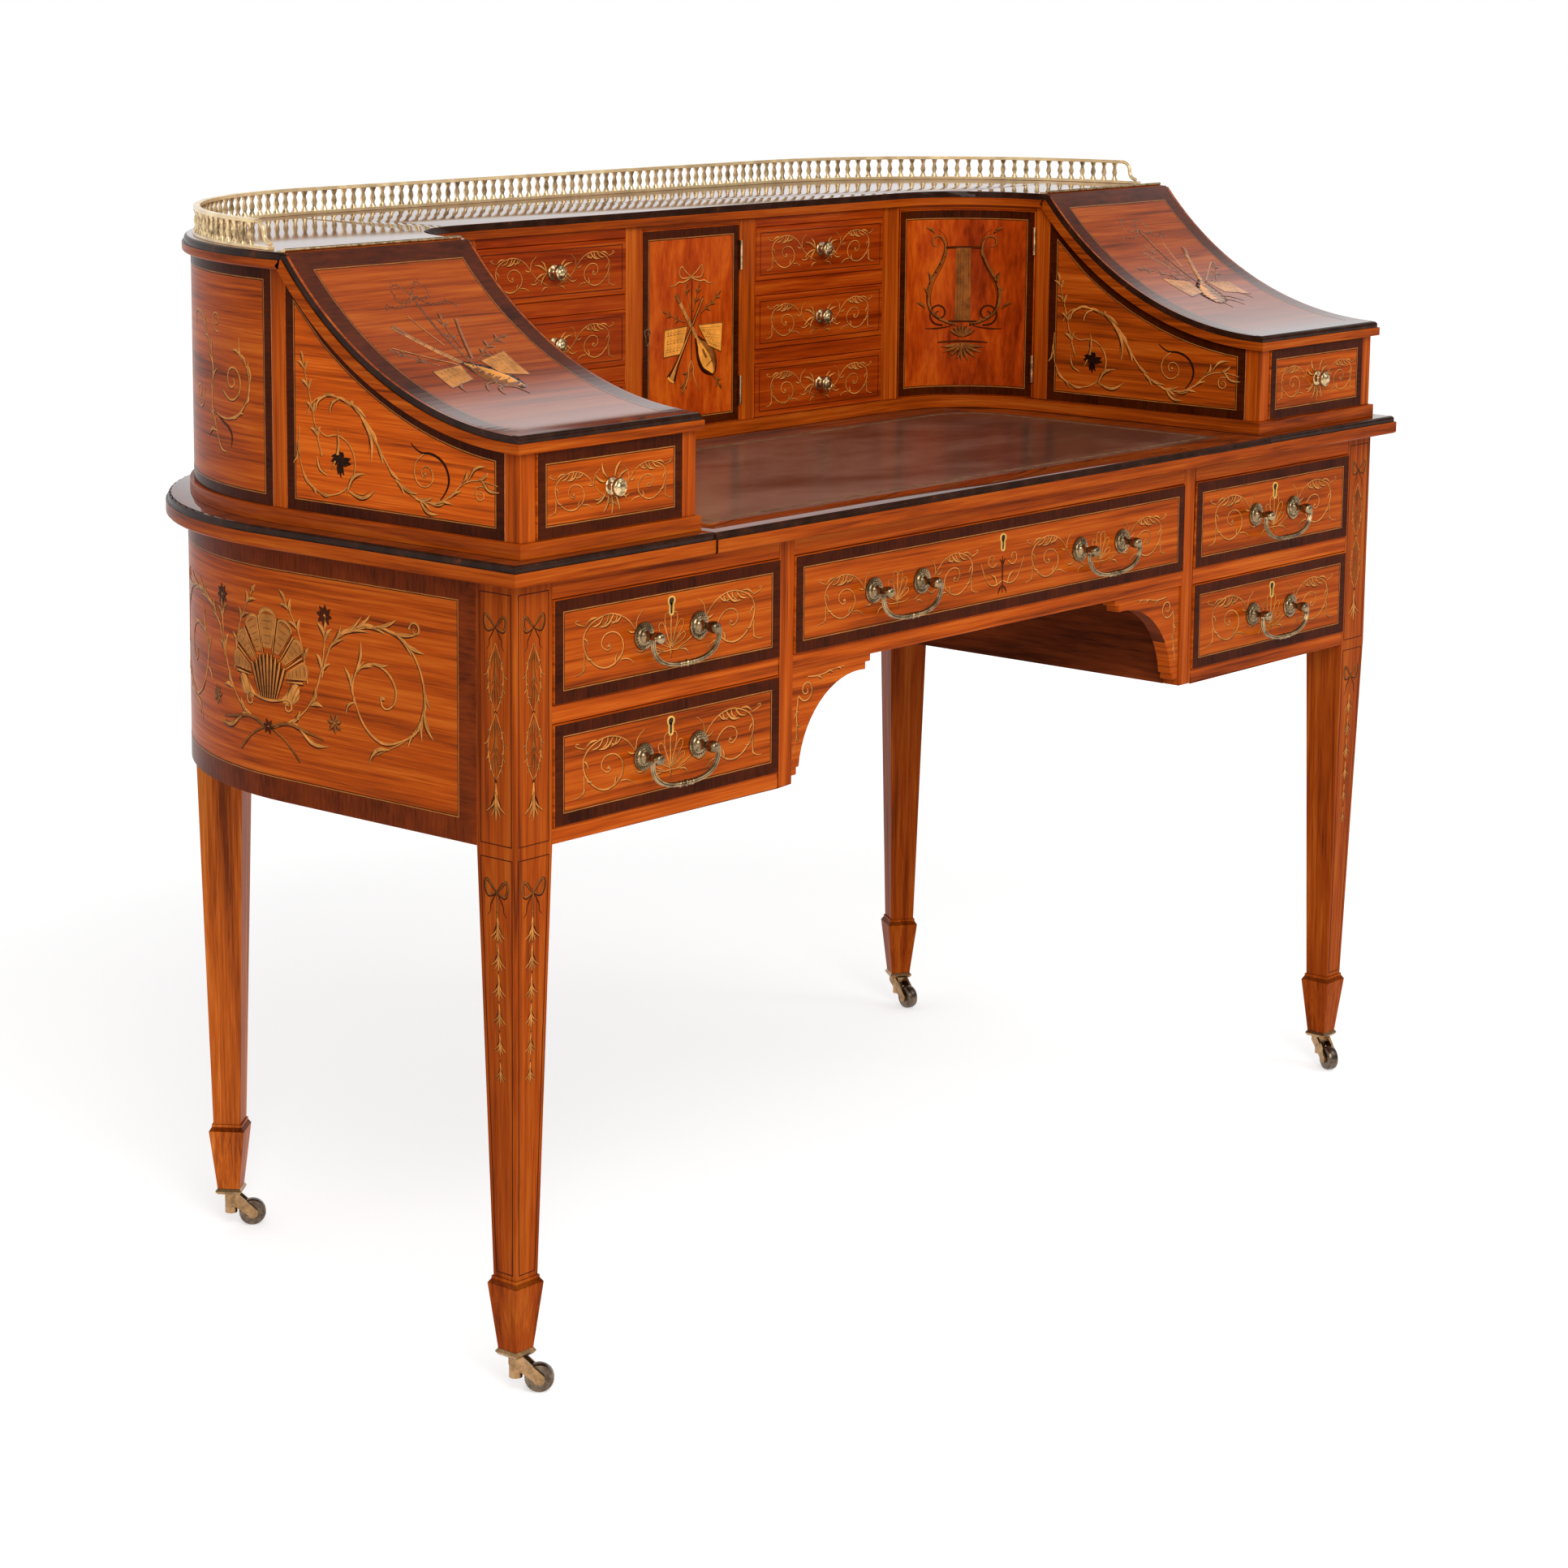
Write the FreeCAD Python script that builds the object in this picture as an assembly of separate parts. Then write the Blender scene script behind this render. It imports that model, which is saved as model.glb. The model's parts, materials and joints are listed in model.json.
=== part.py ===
import FreeCAD, Part
import math
import os

# Carlton house desk, in millimetres: +X to the sitter's right, +Y to the back, +Z up.
# It is drawn from the floor and the front plane of the carcass, then saved from the middle of its box.

V = FreeCAD.Vector
UP = V(0, 0, 1)
ORIGIN = V(0, 0, 0)
FAR = 3000.0              # reach of the cutting blocks
SAME = 1e-6               # closeness at which two heights count as one
DIAGONAL = math.sqrt(0.5)

# Fits
gap = 0.5                 # around drawer fronts and doors
seat = 0.3                # under or beside a moving piece
pin_clearance = 0.1       # round a turning pin

# Lower carcass
carcass_half = 673.0
carcass_depth = 609.0
carcass_corner = 324.0    # radius of the bowed back corners
carcass_bottom = 487.0
panel_thick = 20.0
stile_width = 20.0
kneehole_half = 312.0
bottom_rail = 14.0
lower_drawer_height = 90.0
middle_rail = 16.0
upper_drawer_height = 91.0
top_rail = 19.0
kneehole_rail = 15.0
rail_depth = 20.0
board_thick = 10.0
guide_width = 10.0
guide_height = 14.0

# Legs
leg_square = 45.0
ankle_square = 26.7
collar_square = 29.4
spade_top_square = 34.4
spade_foot_square = 21.6
spade_length = 59.5
collar_height = 6.5
collar_step = 2.5
back_leg_turn = 35.7      # degrees from straight back
leg_stump = 24.0          # thickness of a back leg behind the side panel

# Casters
plate_square = 26.0
plate_thick = 6.0
plate_chamfer = 2.0
wheel_headroom = 2.0      # from the wheel to the bridge of the fork
swivel_pin_radius = 3.5
fork_barrel_radius = 6.0
fork_bridge = 6.0
fork_arm_thick = 2.5
wheel_radius = 13.0
wheel_width = 11.0
wheel_groove = 1.0
axle_radius = 2.0
axle_boss_radius = 5.0
wheel_gap = 1.5           # from the wheel to the barrel of the fork
caster_angles = {"front_left": -49.0, "front_right": -120.0, "back_left": -41.0, "back_right": -107.0}

# Brackets in the kneehole
bracket_reach = 115.0
bracket_lift = 7.0        # foot of the bracket above the bottom of the carcass
bracket_foot = 9.0
bracket_step = 7.0
bracket_thick = 16.0

# Main top
top_thick = 19.0
top_overhang = 20.0
slide_proud = 2.0         # how far the writing board stands out in front of the fixed ends
bead_height = 6.5
bead_inset = 2.0
bead_round = 3.5
edge_ease = 1.5
back_strip = 37.0

# Leather
leather_thick = 1.5
leather_margin = 36.0
leather_front_margin = 40.0
leather_inset = 0.2

# Upper stage
stage_inset = 7.0         # inside the carcass sides
stage_back_inset = 5.0
stage_panel = 12.0
stage_base = 13.5
base_proud = 4.0
corner_bricks = 3         # pieces each corner of the base board is jointed from
small_drawer_height = 56.5
small_rail = 15.0
small_top_rail = 10.0
small_rail_depth = 15.0
stage_top_thick = 15.0
stage_top_overhang = 8.0
stage_inner_half = 447.0  # inner faces of the end blocks
stage_wall = 400.0        # front plane of the small drawers
inner_corner = 106.0      # radius of the hollow corner doors
block_height = 75.5
post_width = 18.0
block_stile = 19.0
outer_stile = 18.0
well_floor_drop = 7.0
well_floor_thick = 6.0
shelf_thick = 6.0
centre_door_half = 75.5
door_stile = 24.5
column_stile = 28.5

# Lids
lid_thick = 15.0
lid_setback = 11.0        # hinge line in front of the corner doors
lid_land = 6.0            # flat strip beside the hinge
lid_front = 6.0           # overhang in front of the posts
lid_inner = 5.0           # overhang over the inner faces
lid_seam_gap = 0.4

# Doors and hinges
door_thick = 16.0
corner_door_thick = 14.0
hinge_radius = 1.8
knuckle_clearance = 0.2
hinge_length = 30.0
hinge_inset = 32.0        # hinge middle from the door's end
leaf_thick = 0.6
leaf_width = 10.0
leaf_clearance = 0.4
strip_radius = 1.5
strip_leaf = 9.0
strip_leaf_thick = 1.0
strip_inset = 8.0

# Drawers
frieze_front_thick = 20.0
frieze_proud = 2.0
frieze_side_thick = 9.0
frieze_bottom_thick = 6.0
frieze_side_drop = 12.0
side_back_room = 12.0     # behind the side drawers
centre_back_room = 90.0
small_front_thick = 13.0
small_proud = 1.5
small_side_thick = 6.0
small_bottom_thick = 4.0
small_side_drop = 8.0
small_back_room = 15.0
block_back_room = 25.0
well_clearance = 5.0      # from the sides of an end drawer to the floor of the well above
side_inset = 0.6          # drawer sides inside the ends of the front
bottom_lift = 3.0

# Bail handles
bail_spacing = 72.0
centre_handle = 163.0     # middles of the centre drawer's handles
rosette_radius = 12.0
rosette_thick = 4.0
rosette_edge = 1.6
rosette_dome_radius = 7.0
post_radius = 3.2
post_length = 18.0
ball_radius = 5.5
bail_wire = 2.1
bail_bend = 4.0
bail_belly = 4.0          # drop of the flat arc at the bottom
bail_drop = 30.0
escutcheon_rise = 21.0    # keyhole above the handle line
escutcheon_radius = 4.0
escutcheon_tail = 5.6
escutcheon_length = 9.0
escutcheon_thick = 0.8

# Knobs
knob_base_radius = 7.5
knob_base_edge = 1.5
knob_base_thick = 2.5
knob_neck_radius = 3.2
knob_neck_length = 5.0
knob_cup_length = 2.0
knob_cup_radius = 6.0
knob_head_radius = 8.0
knob_swell_length = 3.2
knob_shoulder_radius = 7.2
knob_shoulder_length = 3.1
knob_crown_radius = 4.0
knob_crown_length = 2.7

# Gallery
gallery_inset = 14.0      # rail's middle line inside the edge of the top board
gallery_height = 26.0
base_rail_width = 8.0
base_rail_height = 3.0
top_rail_width = 6.0
top_rail_height = 3.5
scroll_bar = 2.0
gallery_start = 26.0      # foot of the scroll behind the hinge line
spindle_pitch = 13.2
spindle_bulb = 3.2
spindle_ring = 2.2
spindle_waist = 1.5
spindle_stops = (0.12, 0.36, 0.62, 0.76, 0.9)   # shares of its height where the turning changes

# Heights and places that follow from those sizes
caster_trail = fork_barrel_radius + wheel_gap + wheel_radius
spade_bottom = plate_thick + wheel_headroom + 2 * wheel_radius + fork_bridge
spade_top = spade_bottom + spade_length
lower_z0 = carcass_bottom + bottom_rail
lower_z1 = lower_z0 + lower_drawer_height
upper_z0 = lower_z1 + middle_rail
upper_z1 = upper_z0 + upper_drawer_height
top_z0 = upper_z1 + top_rail
top_z1 = top_z0 + top_thick
pedestal_x0 = kneehole_half + stile_width
pedestal_x1 = carcass_half - leg_square
corner_x = carcass_half - carcass_corner
corner_y = carcass_depth - carcass_corner
stage_z0 = top_z1 + stage_base
stage_half = carcass_half - stage_inset
stage_depth = carcass_depth - stage_back_inset
stage_corner = stage_depth - corner_y
small_levels = [stage_z0 + i * (small_drawer_height + small_rail) for i in range(3)]
stage_z1 = small_levels[2] + small_drawer_height + small_top_rail
stage_z2 = stage_z1 + stage_top_thick
block_z1 = stage_z0 + block_height
block_x0 = stage_inner_half + post_width
block_x1 = stage_half - post_width
hollow_x = stage_inner_half - inner_corner
hollow_y = stage_wall - inner_corner
column_x0 = centre_door_half + door_stile
column_x1 = hollow_x - gap - column_stile
lid_seam = hollow_y - lid_setback
lid_x0 = stage_inner_half - lid_inner
lid_x1 = stage_half + stage_top_overhang
lid_top_front = block_z1 + lid_thick
lid_run = lid_seam - lid_land + lid_front
lid_rise = stage_z2 - lid_top_front
lid_radius = (lid_run ** 2 + lid_rise ** 2) / (2 * lid_rise)
lid_centre_z = lid_top_front + lid_radius
slide_half = lid_x0 - gap
slide_front = top_overhang + slide_proud
slide_back = carcass_depth + top_overhang - back_strip - gap
hinge_stand = hinge_radius + knuckle_clearance
door_edge_gap = leaf_thick + leaf_clearance
side_reach = corner_y + math.sqrt((carcass_corner - panel_thick) ** 2 - (pedestal_x1 - corner_x) ** 2)
side_drawer_depth = side_reach - side_back_room + frieze_proud
centre_drawer_depth = carcass_depth - panel_thick - centre_back_room + frieze_proud
well_wall_y = hollow_y - stage_panel - gap
small_drawer_depth = stage_depth - stage_panel - small_back_room - stage_wall + small_proud
block_drawer_depth = well_wall_y - block_back_room + small_proud
block_side_drop = well_floor_drop + well_floor_thick + well_clearance
handle_front = frieze_proud + post_length + ball_radius
box_front = max(handle_front, slide_front)
box_back = carcass_depth + top_overhang
TO_CENTRE = V(0, -(box_back - box_front) / 2, 0)


def box(x0, x1, y0, y1, z0, z1):
    return Part.makeBox(x1 - x0, y1 - y0, z1 - z0, V(x0, y0, z0))


def mirrored(shape):
    return shape.mirror(ORIGIN, V(1, 0, 0))


def pair(shape):
    return [shape, mirrored(shape)]


def rod(radius, length, base, direction):
    return Part.makeCylinder(radius, length, base, direction)


def outline(half, front, back, radius, z):
    """Plan with a straight front and sides and quarter-round back corners."""
    side = back - radius
    flat = half - radius
    mid = radius * DIAGONAL
    right = Part.Arc(V(half, side, z), V(flat + mid, side + mid, z), V(flat, back, z))
    left = Part.Arc(V(-flat, back, z), V(-flat - mid, side + mid, z), V(-half, side, z))
    edges = [
        Part.makeLine(V(-half, side, z), V(-half, front, z)),
        Part.makeLine(V(-half, front, z), V(half, front, z)),
        Part.makeLine(V(half, front, z), V(half, side, z)),
        right.toShape(),
        Part.makeLine(V(flat, back, z), V(-flat, back, z)),
        left.toShape(),
    ]
    return Part.Face(Part.Wire(edges))


def bowed(half, front, back, radius, z0, z1):
    return outline(half, front, back, radius, z0).extrude(V(0, 0, z1 - z0))


def carcass_block(inset, z0, z1, front=0.0):
    """The carcass plan, drawn in by inset."""
    radius = carcass_corner - inset
    return bowed(carcass_half - inset, front, carcass_depth - inset, radius, z0, z1)


def stage_block(inset, z0, z1, front=0.0):
    """The plan of the upper stage, drawn in by inset."""
    radius = stage_corner - inset
    return bowed(stage_half - inset, front, stage_depth - inset, radius, z0, z1)


def hollow_block(inset, z0, z1):
    """The open bay in the middle of the stage, drawn in by inset and open to the front."""
    radius = inner_corner - inset
    return bowed(stage_inner_half - inset, -FAR, stage_wall - inset, radius, z0, z1)


def level_edges(shape, z):
    return [e for e in shape.Edges if all(abs(v.Z - z) < SAME for v in e.Vertexes)]


def moulded(half, front, back, radius, z0, thick):
    """A board with a fascia eased below and a rounded bead above it, all round."""
    step = z0 + thick - bead_height
    fascia = bowed(half, front, back, radius, z0, step)
    fascia = fascia.makeChamfer(edge_ease, level_edges(fascia, z0))
    inset = bead_inset
    bead = bowed(half - inset, front + inset, back - inset, radius - inset, step, z0 + thick)
    bead = bead.makeFillet(bead_round, level_edges(bead, z0 + thick))
    return fascia.fuse(bead).removeSplitter()


def beyond_x(x):
    """Everything to the right of x."""
    return box(x, FAR, -FAR, FAR, -FAR, FAR)


def within_x(x):
    return box(-x, x, -FAR, FAR, -FAR, FAR)


def behind_y(y):
    return box(-FAR, FAR, y, FAR, -FAR, FAR)


def before_y(y):
    return box(-FAR, FAR, -FAR, y, -FAR, FAR)


def square(side, z):
    h = side / 2
    return Part.makePolygon([V(-h, -h, z), V(h, -h, z), V(h, h, z), V(-h, h, z), V(-h, -h, z)])


def turned(points, base, direction):
    """A solid turned round an axis: points are (radius, distance along the axis)."""
    path = [V(r, 0, h) for r, h in points]
    face = Part.Face(Part.makePolygon(path + [path[0]]))
    solid = face.revolve(ORIGIN, UP, 360)
    solid.Placement = FreeCAD.Placement(base, FreeCAD.Rotation(UP, direction))
    return solid


def save(name, *solids):
    shape = solids[0] if len(solids) == 1 else Part.makeCompound(list(solids))
    shape = shape.copy()
    shape.translate(TO_CENTRE)
    shape.exportStep(os.path.join("parts", name + ".step"))


# Legs and casters

def lower_leg():
    """A tapered leg with its collar and spade foot, round the Z axis, up to the carcass."""
    sections = [
        (leg_square, carcass_bottom),
        (ankle_square, spade_top + collar_height),
        (collar_square, spade_top + collar_height),
        (collar_square, spade_top + collar_height - collar_step),
        (spade_top_square, spade_top),
        (spade_foot_square, spade_bottom),
    ]
    lengths = []
    for (upper, z_upper), (lower, z_lower) in zip(sections, sections[1:]):
        if z_upper > z_lower:
            lengths.append(Part.makeLoft([square(lower, z_lower), square(upper, z_upper)], True, True))
    return lengths[0].multiFuse(lengths[1:])


def back_leg_place(side):
    reach = carcass_corner - leg_square / 2
    turn = math.radians(back_leg_turn)
    spot = V(side * (corner_x + reach * math.sin(turn)), corner_y + reach * math.cos(turn), 0)
    return FreeCAD.Placement(spot, FreeCAD.Rotation(UP, -side * back_leg_turn))


def back_stump(side, clearance):
    """The part of a back leg that stands inside the carcass."""
    h = leg_square / 2
    inside = carcass_corner - panel_thick
    face = math.sqrt(inside ** 2 - h ** 2) - seat - (carcass_corner - h)
    c = clearance
    stump = box(-h - c, h + c, face - leg_stump - c, face + c, carcass_bottom, top_z0)
    stump.Placement = back_leg_place(side)
    return stump


def leg_spots():
    near = carcass_half - leg_square / 2
    front = leg_square / 2
    return {
        "front_left": FreeCAD.Placement(V(-near, front, 0), FreeCAD.Rotation()),
        "front_right": FreeCAD.Placement(V(near, front, 0), FreeCAD.Rotation()),
        "back_left": back_leg_place(-1),
        "back_right": back_leg_place(1),
    }


def legs():
    h = leg_square / 2
    made = []
    for name, place in leg_spots().items():
        low = lower_leg()
        low.Placement = place
        if name.startswith("front"):
            high = box(-h, h, -h, h, carcass_bottom, top_z0)
            high.Placement = place
        else:
            high = back_stump(-1 if name.endswith("left") else 1, 0)
        made.append(low.fuse(high).removeSplitter())
    return made


def caster_plates():
    """Square plates under the feet, each with the pin that its fork swivels on."""
    low = spade_bottom - plate_thick
    small = plate_square - 2 * plate_chamfer
    middle = low + plate_thick / 2
    made = []
    for place in leg_spots().values():
        lower = Part.makeLoft([square(small, low), square(plate_square, middle)], True, True)
        upper = Part.makeLoft([square(plate_square, middle), square(small, spade_bottom)], True, True)
        pin = rod(swivel_pin_radius, low - wheel_radius, V(0, 0, wheel_radius), UP)
        plate = lower.multiFuse([upper, pin])
        plate.Placement = place
        made.append(plate)
    return made


def caster_fork():
    """A fork that trails along +X from the swivel axis at the origin, with its axle."""
    top = spade_bottom - plate_thick - seat
    low_bridge = top - fork_bridge
    inner = wheel_width / 2 + seat
    outer = inner + fork_arm_thick
    barrel_foot = wheel_radius + seat
    barrel = rod(fork_barrel_radius, top - barrel_foot, V(0, 0, barrel_foot), UP)
    bridge = box(-fork_barrel_radius, fork_barrel_radius, -outer, outer, low_bridge, top)
    heel = axle_boss_radius
    side = [
        V(-fork_barrel_radius, inner, top),
        V(fork_barrel_radius, inner, top),
        V(caster_trail + heel, inner, wheel_radius + heel / 2),
        V(caster_trail, inner, wheel_radius - heel),
        V(-fork_barrel_radius, inner, low_bridge),
    ]
    arm = Part.Face(Part.makePolygon(side + [side[0]])).extrude(V(0, fork_arm_thick, 0))
    boss = rod(heel, fork_arm_thick, V(caster_trail, inner, wheel_radius), V(0, 1, 0))
    arm = arm.fuse(boss)
    other = arm.mirror(ORIGIN, V(0, 1, 0))
    axle = rod(axle_radius, 2 * outer, V(caster_trail, -outer, wheel_radius), V(0, 1, 0))
    fork = barrel.multiFuse([bridge, arm, other, axle]).removeSplitter()
    bore = rod(swivel_pin_radius + pin_clearance, top, ORIGIN, UP)
    wheel_room = rod(wheel_radius + seat, 2 * inner, V(caster_trail, -inner, wheel_radius), V(0, 1, 0))
    return fork.cut(bore).cut(wheel_room.cut(axle))


def caster_wheel():
    w = wheel_width / 2
    rim = wheel_radius - wheel_groove
    bore = axle_radius + pin_clearance
    profile = [(bore, -w), (rim, -w), (wheel_radius, -w / 2), (wheel_radius, w / 2), (rim, w), (bore, w)]
    return turned(profile, V(caster_trail, 0, wheel_radius), V(0, 1, 0))


def at_caster(shape, name):
    turn = FreeCAD.Placement(ORIGIN, FreeCAD.Rotation(UP, caster_angles[name]))
    spot = FreeCAD.Placement(leg_spots()[name].Base, FreeCAD.Rotation())
    placed = shape.copy()
    placed.Placement = spot.multiply(turn).multiply(shape.Placement)
    return placed


# Lower carcass

def carcass_panels():
    shell = carcass_block(0, carcass_bottom, top_z0)
    shell = shell.cut(carcass_block(panel_thick, carcass_bottom, top_z0, -FAR))
    shell = shell.common(behind_y(leg_square))
    right = shell.common(beyond_x(kneehole_half))
    low = upper_z0 - kneehole_rail
    centre = shell.common(within_x(kneehole_half)).common(box(-FAR, FAR, 0, FAR, low, FAR))
    return pair(right) + [centre]


def bracket():
    """The shaped bracket on the right of the kneehole."""
    x = kneehole_half
    z = upper_z0 - kneehole_rail
    tip = x - bracket_reach
    low = carcass_bottom + bracket_lift
    start = V(tip + bracket_step, 0, z - 2 * bracket_step)
    end = V(x - bracket_foot - bracket_step / 2, 0, low + bracket_step)
    across = end.x - start.x
    down = start.z - end.z
    bend = V(start.x + across * DIAGONAL, 0, end.z + down * DIAGONAL)
    outline_edges = [
        Part.makeLine(end, V(x - bracket_foot, 0, low + bracket_step)),
        Part.makeLine(V(x - bracket_foot, 0, low + bracket_step), V(x - bracket_foot, 0, low)),
        Part.makeLine(V(x - bracket_foot, 0, low), V(x, 0, low)),
        Part.makeLine(V(x, 0, low), V(x, 0, z)),
        Part.makeLine(V(x, 0, z), V(tip, 0, z)),
        Part.makeLine(V(tip, 0, z), V(tip, 0, z - bracket_step)),
        Part.makeLine(V(tip, 0, z - bracket_step), V(tip + bracket_step, 0, z - bracket_step)),
        Part.makeLine(V(tip + bracket_step, 0, z - bracket_step), start),
        Part.Arc(start, bend, end).toShape(),
    ]
    shape = Part.Face(Part.Wire(outline_edges)).extrude(V(0, bracket_thick, 0))
    shape.translate(V(0, (rail_depth - bracket_thick) / 2, 0))
    return shape


def front_frame():
    d = rail_depth
    made = pair(box(kneehole_half, pedestal_x0, 0, d, carcass_bottom, top_z0))
    made += pair(box(pedestal_x0, pedestal_x1, 0, d, upper_z1, top_z0))
    made += pair(box(pedestal_x0, pedestal_x1, 0, d, lower_z1, upper_z0))
    made += pair(box(pedestal_x0, pedestal_x1, 0, d, carcass_bottom, lower_z0))
    made.append(box(-kneehole_half, kneehole_half, 0, d, upper_z1, top_z0))
    made.append(box(-kneehole_half, kneehole_half, 0, d, upper_z0 - kneehole_rail, upper_z0))
    return made + pair(bracket())


def inner_frame():
    """Kneehole sides, dust boards and the guides beside the drawers."""
    back = carcass_depth - panel_thick
    made = pair(box(kneehole_half, pedestal_x0, rail_depth, back, carcass_bottom, top_z0))
    made.append(box(-kneehole_half, kneehole_half, rail_depth, back, upper_z0 - board_thick, upper_z0))
    inside = carcass_block(panel_thick + seat, carcass_bottom, top_z0, rail_depth)
    for top in (lower_z0, upper_z0):
        board = box(pedestal_x0, carcass_half, rail_depth, back - seat, top - board_thick, top)
        board = board.common(inside).cut(back_stump(1, seat))
        board = board.cut(box(pedestal_x1 - seat, FAR, 0, leg_square + seat, 0, FAR))
        made += pair(board)
        x = pedestal_x1 + seat
        guide = box(x, x + guide_width, leg_square, side_reach - side_back_room, top, top + guide_height)
        made += pair(guide.common(inside))
    return made


# Main top and writing board

def top_board(front):
    radius = carcass_corner + top_overhang
    half = carcass_half + top_overhang
    return moulded(half, -front, carcass_depth + top_overhang, radius, top_z0, top_thick)


def main_top():
    board = top_board(top_overhang)
    right = board.common(beyond_x(slide_half + gap))
    strip = board.common(within_x(slide_half + gap)).common(behind_y(slide_back + gap))
    return pair(right) + [strip]


def leather_face(inset, z0, z1):
    edge = leather_margin + base_proud + inset
    front = leather_front_margin - slide_front + inset
    return hollow_block(edge, z0, z1).common(behind_y(front))


def writing_slide():
    board = top_board(slide_front).common(within_x(slide_half)).common(before_y(slide_back))
    board = board.common(box(-FAR, FAR, -FAR, FAR, top_z0 + seat, top_z1 - seat))
    return board.cut(leather_face(0, top_z1 - seat - leather_thick, top_z1))


def leather():
    return leather_face(leather_inset, top_z1 - seat - leather_thick, top_z1 - seat)


# Upper stage

def lid_arc(radius, y_end):
    """Start, middle and end of an arc about the centre of the lid's sweep, from the front to y_end."""
    centre = V(0, -lid_front, lid_centre_z)
    full = math.asin((y_end + lid_front) / radius)
    points = []
    for share in (0.0, 0.5, 1.0):
        angle = full * share
        points.append(centre + V(0, radius * math.sin(angle), -radius * math.cos(angle)))
    return points


def lid_room():
    """The space kept clear under and over a closed lid, on the right."""
    low = lid_radius + lid_thick + seat
    first, middle, last = lid_arc(low, lid_seam)
    top = V(0, lid_seam, FAR)
    front_low = V(0, -FAR / 2, first.z)
    front_top = V(0, -FAR / 2, FAR)
    edges = [
        Part.Arc(first, middle, last).toShape(),
        Part.makeLine(last, top),
        Part.makeLine(top, front_top),
        Part.makeLine(front_top, front_low),
        Part.makeLine(front_low, first),
    ]
    face = Part.Face(Part.Wire(edges))
    face.translate(V(lid_x0 - post_width, 0, 0))
    return face.extrude(V(lid_x1 - lid_x0 + 2 * post_width, 0, 0))


def lid():
    """The right lid: a bent board whose top and underside share one centre."""
    end = lid_seam - lid_seam_gap
    low_first, low_middle, low_last = lid_arc(lid_radius + lid_thick, end)
    top_first, top_middle, top_last = lid_arc(lid_radius, lid_seam - lid_land)
    corner = V(0, end, stage_z2)
    edges = [
        Part.Arc(low_first, low_middle, low_last).toShape(),
        Part.makeLine(low_last, corner),
        Part.makeLine(corner, top_last),
        Part.Arc(top_last, top_middle, top_first).toShape(),
        Part.makeLine(top_first, low_first),
    ]
    face = Part.Face(Part.Wire(edges))
    face.translate(V(lid_x0, 0, 0))
    board = face.extrude(V(lid_x1 - lid_x0, 0, 0))
    rounded = [e for e in board.Edges if is_lid_rim(e)]
    return board.makeFillet(bead_round, rounded)


def is_lid_rim(edge):
    """Curved top edges at both ends and the top edge at the front."""
    low, high = sorted((edge.Vertexes[0].Z, edge.Vertexes[-1].Z))
    if abs(low - lid_top_front) > SAME:
        return False
    return high - low < SAME or abs(high - stage_z2) < SAME


def stage_carcase():
    """Partitions, shelves, back walls and floors of the wells."""
    back = stage_depth - stage_panel
    wall_y = stage_wall + small_rail_depth
    made = pair(box(column_x0 - stage_panel, column_x0, wall_y, back, stage_z0, stage_z1))
    made += pair(box(column_x1, column_x1 + stage_panel, wall_y, back, stage_z0, stage_z1))
    for level in small_levels[1:]:
        made += pair(box(column_x0, column_x1, wall_y, back, level - shelf_thick, level))
    inner = stage_inner_half + stage_panel
    outer = stage_half - stage_panel
    inside = stage_block(stage_panel, stage_z0, stage_z1)
    wall = box(inner, outer, well_wall_y, well_wall_y + stage_panel, stage_z0, stage_z1)
    made += pair(wall.common(inside).cut(lid_room()))
    floor_top = block_z1 - well_floor_drop
    floor = box(inner, outer, post_width, well_wall_y, floor_top - well_floor_thick, floor_top)
    made += pair(floor.common(inside))
    return made


def stage_panels():
    """Outer end panels, inner end panels, bowed corners and the back."""
    shell = stage_block(0, stage_z0, stage_z1).cut(stage_block(stage_panel, stage_z0, stage_z1, -FAR))
    stile_back = lid_seam + outer_stile
    bow = shell.common(behind_y(stile_back))
    bow = bow.common(beyond_x(stage_half - stage_corner))
    back = shell.common(behind_y(stile_back)).common(within_x(stage_half - stage_corner))
    outer = shell.common(box(stage_half - stage_panel, FAR, post_width, lid_seam, 0, FAR))
    x = stage_inner_half
    inner = box(x, x + stage_panel, post_width, hollow_y - block_stile, stage_z0, stage_z1)
    room = lid_room()
    return pair(bow) + [back] + pair(outer.cut(room)) + pair(inner.cut(room))


def stage_frame():
    """Posts at the front of the end blocks, stiles and the rails round the small drawers."""
    room = lid_room()
    made = []
    for x in (stage_inner_half, block_x1):
        made += pair(box(x, x + post_width, 0, post_width, stage_z0, block_z1 - seat))
    x = stage_inner_half
    inner = box(x, x + stage_panel, hollow_y - block_stile, hollow_y, stage_z0, stage_z1)
    made += pair(inner.cut(room))
    shell = stage_block(0, stage_z0, stage_z1).cut(stage_block(stage_panel, stage_z0, stage_z1, -FAR))
    side = shell.common(box(0, FAR, lid_seam, lid_seam + outer_stile, 0, FAR))
    made += pair(side)
    front = stage_wall
    back = stage_wall + small_rail_depth
    made += pair(box(centre_door_half, column_x0, front, back, stage_z0, stage_z1))
    made += pair(box(column_x1, hollow_x - gap, front, back, stage_z0, stage_z1))
    for level in small_levels:
        top = level + small_drawer_height
        thick = small_top_rail if level == small_levels[2] else small_rail
        made += pair(box(column_x0, column_x1, front, back, top, top + thick))
    return made


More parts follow.
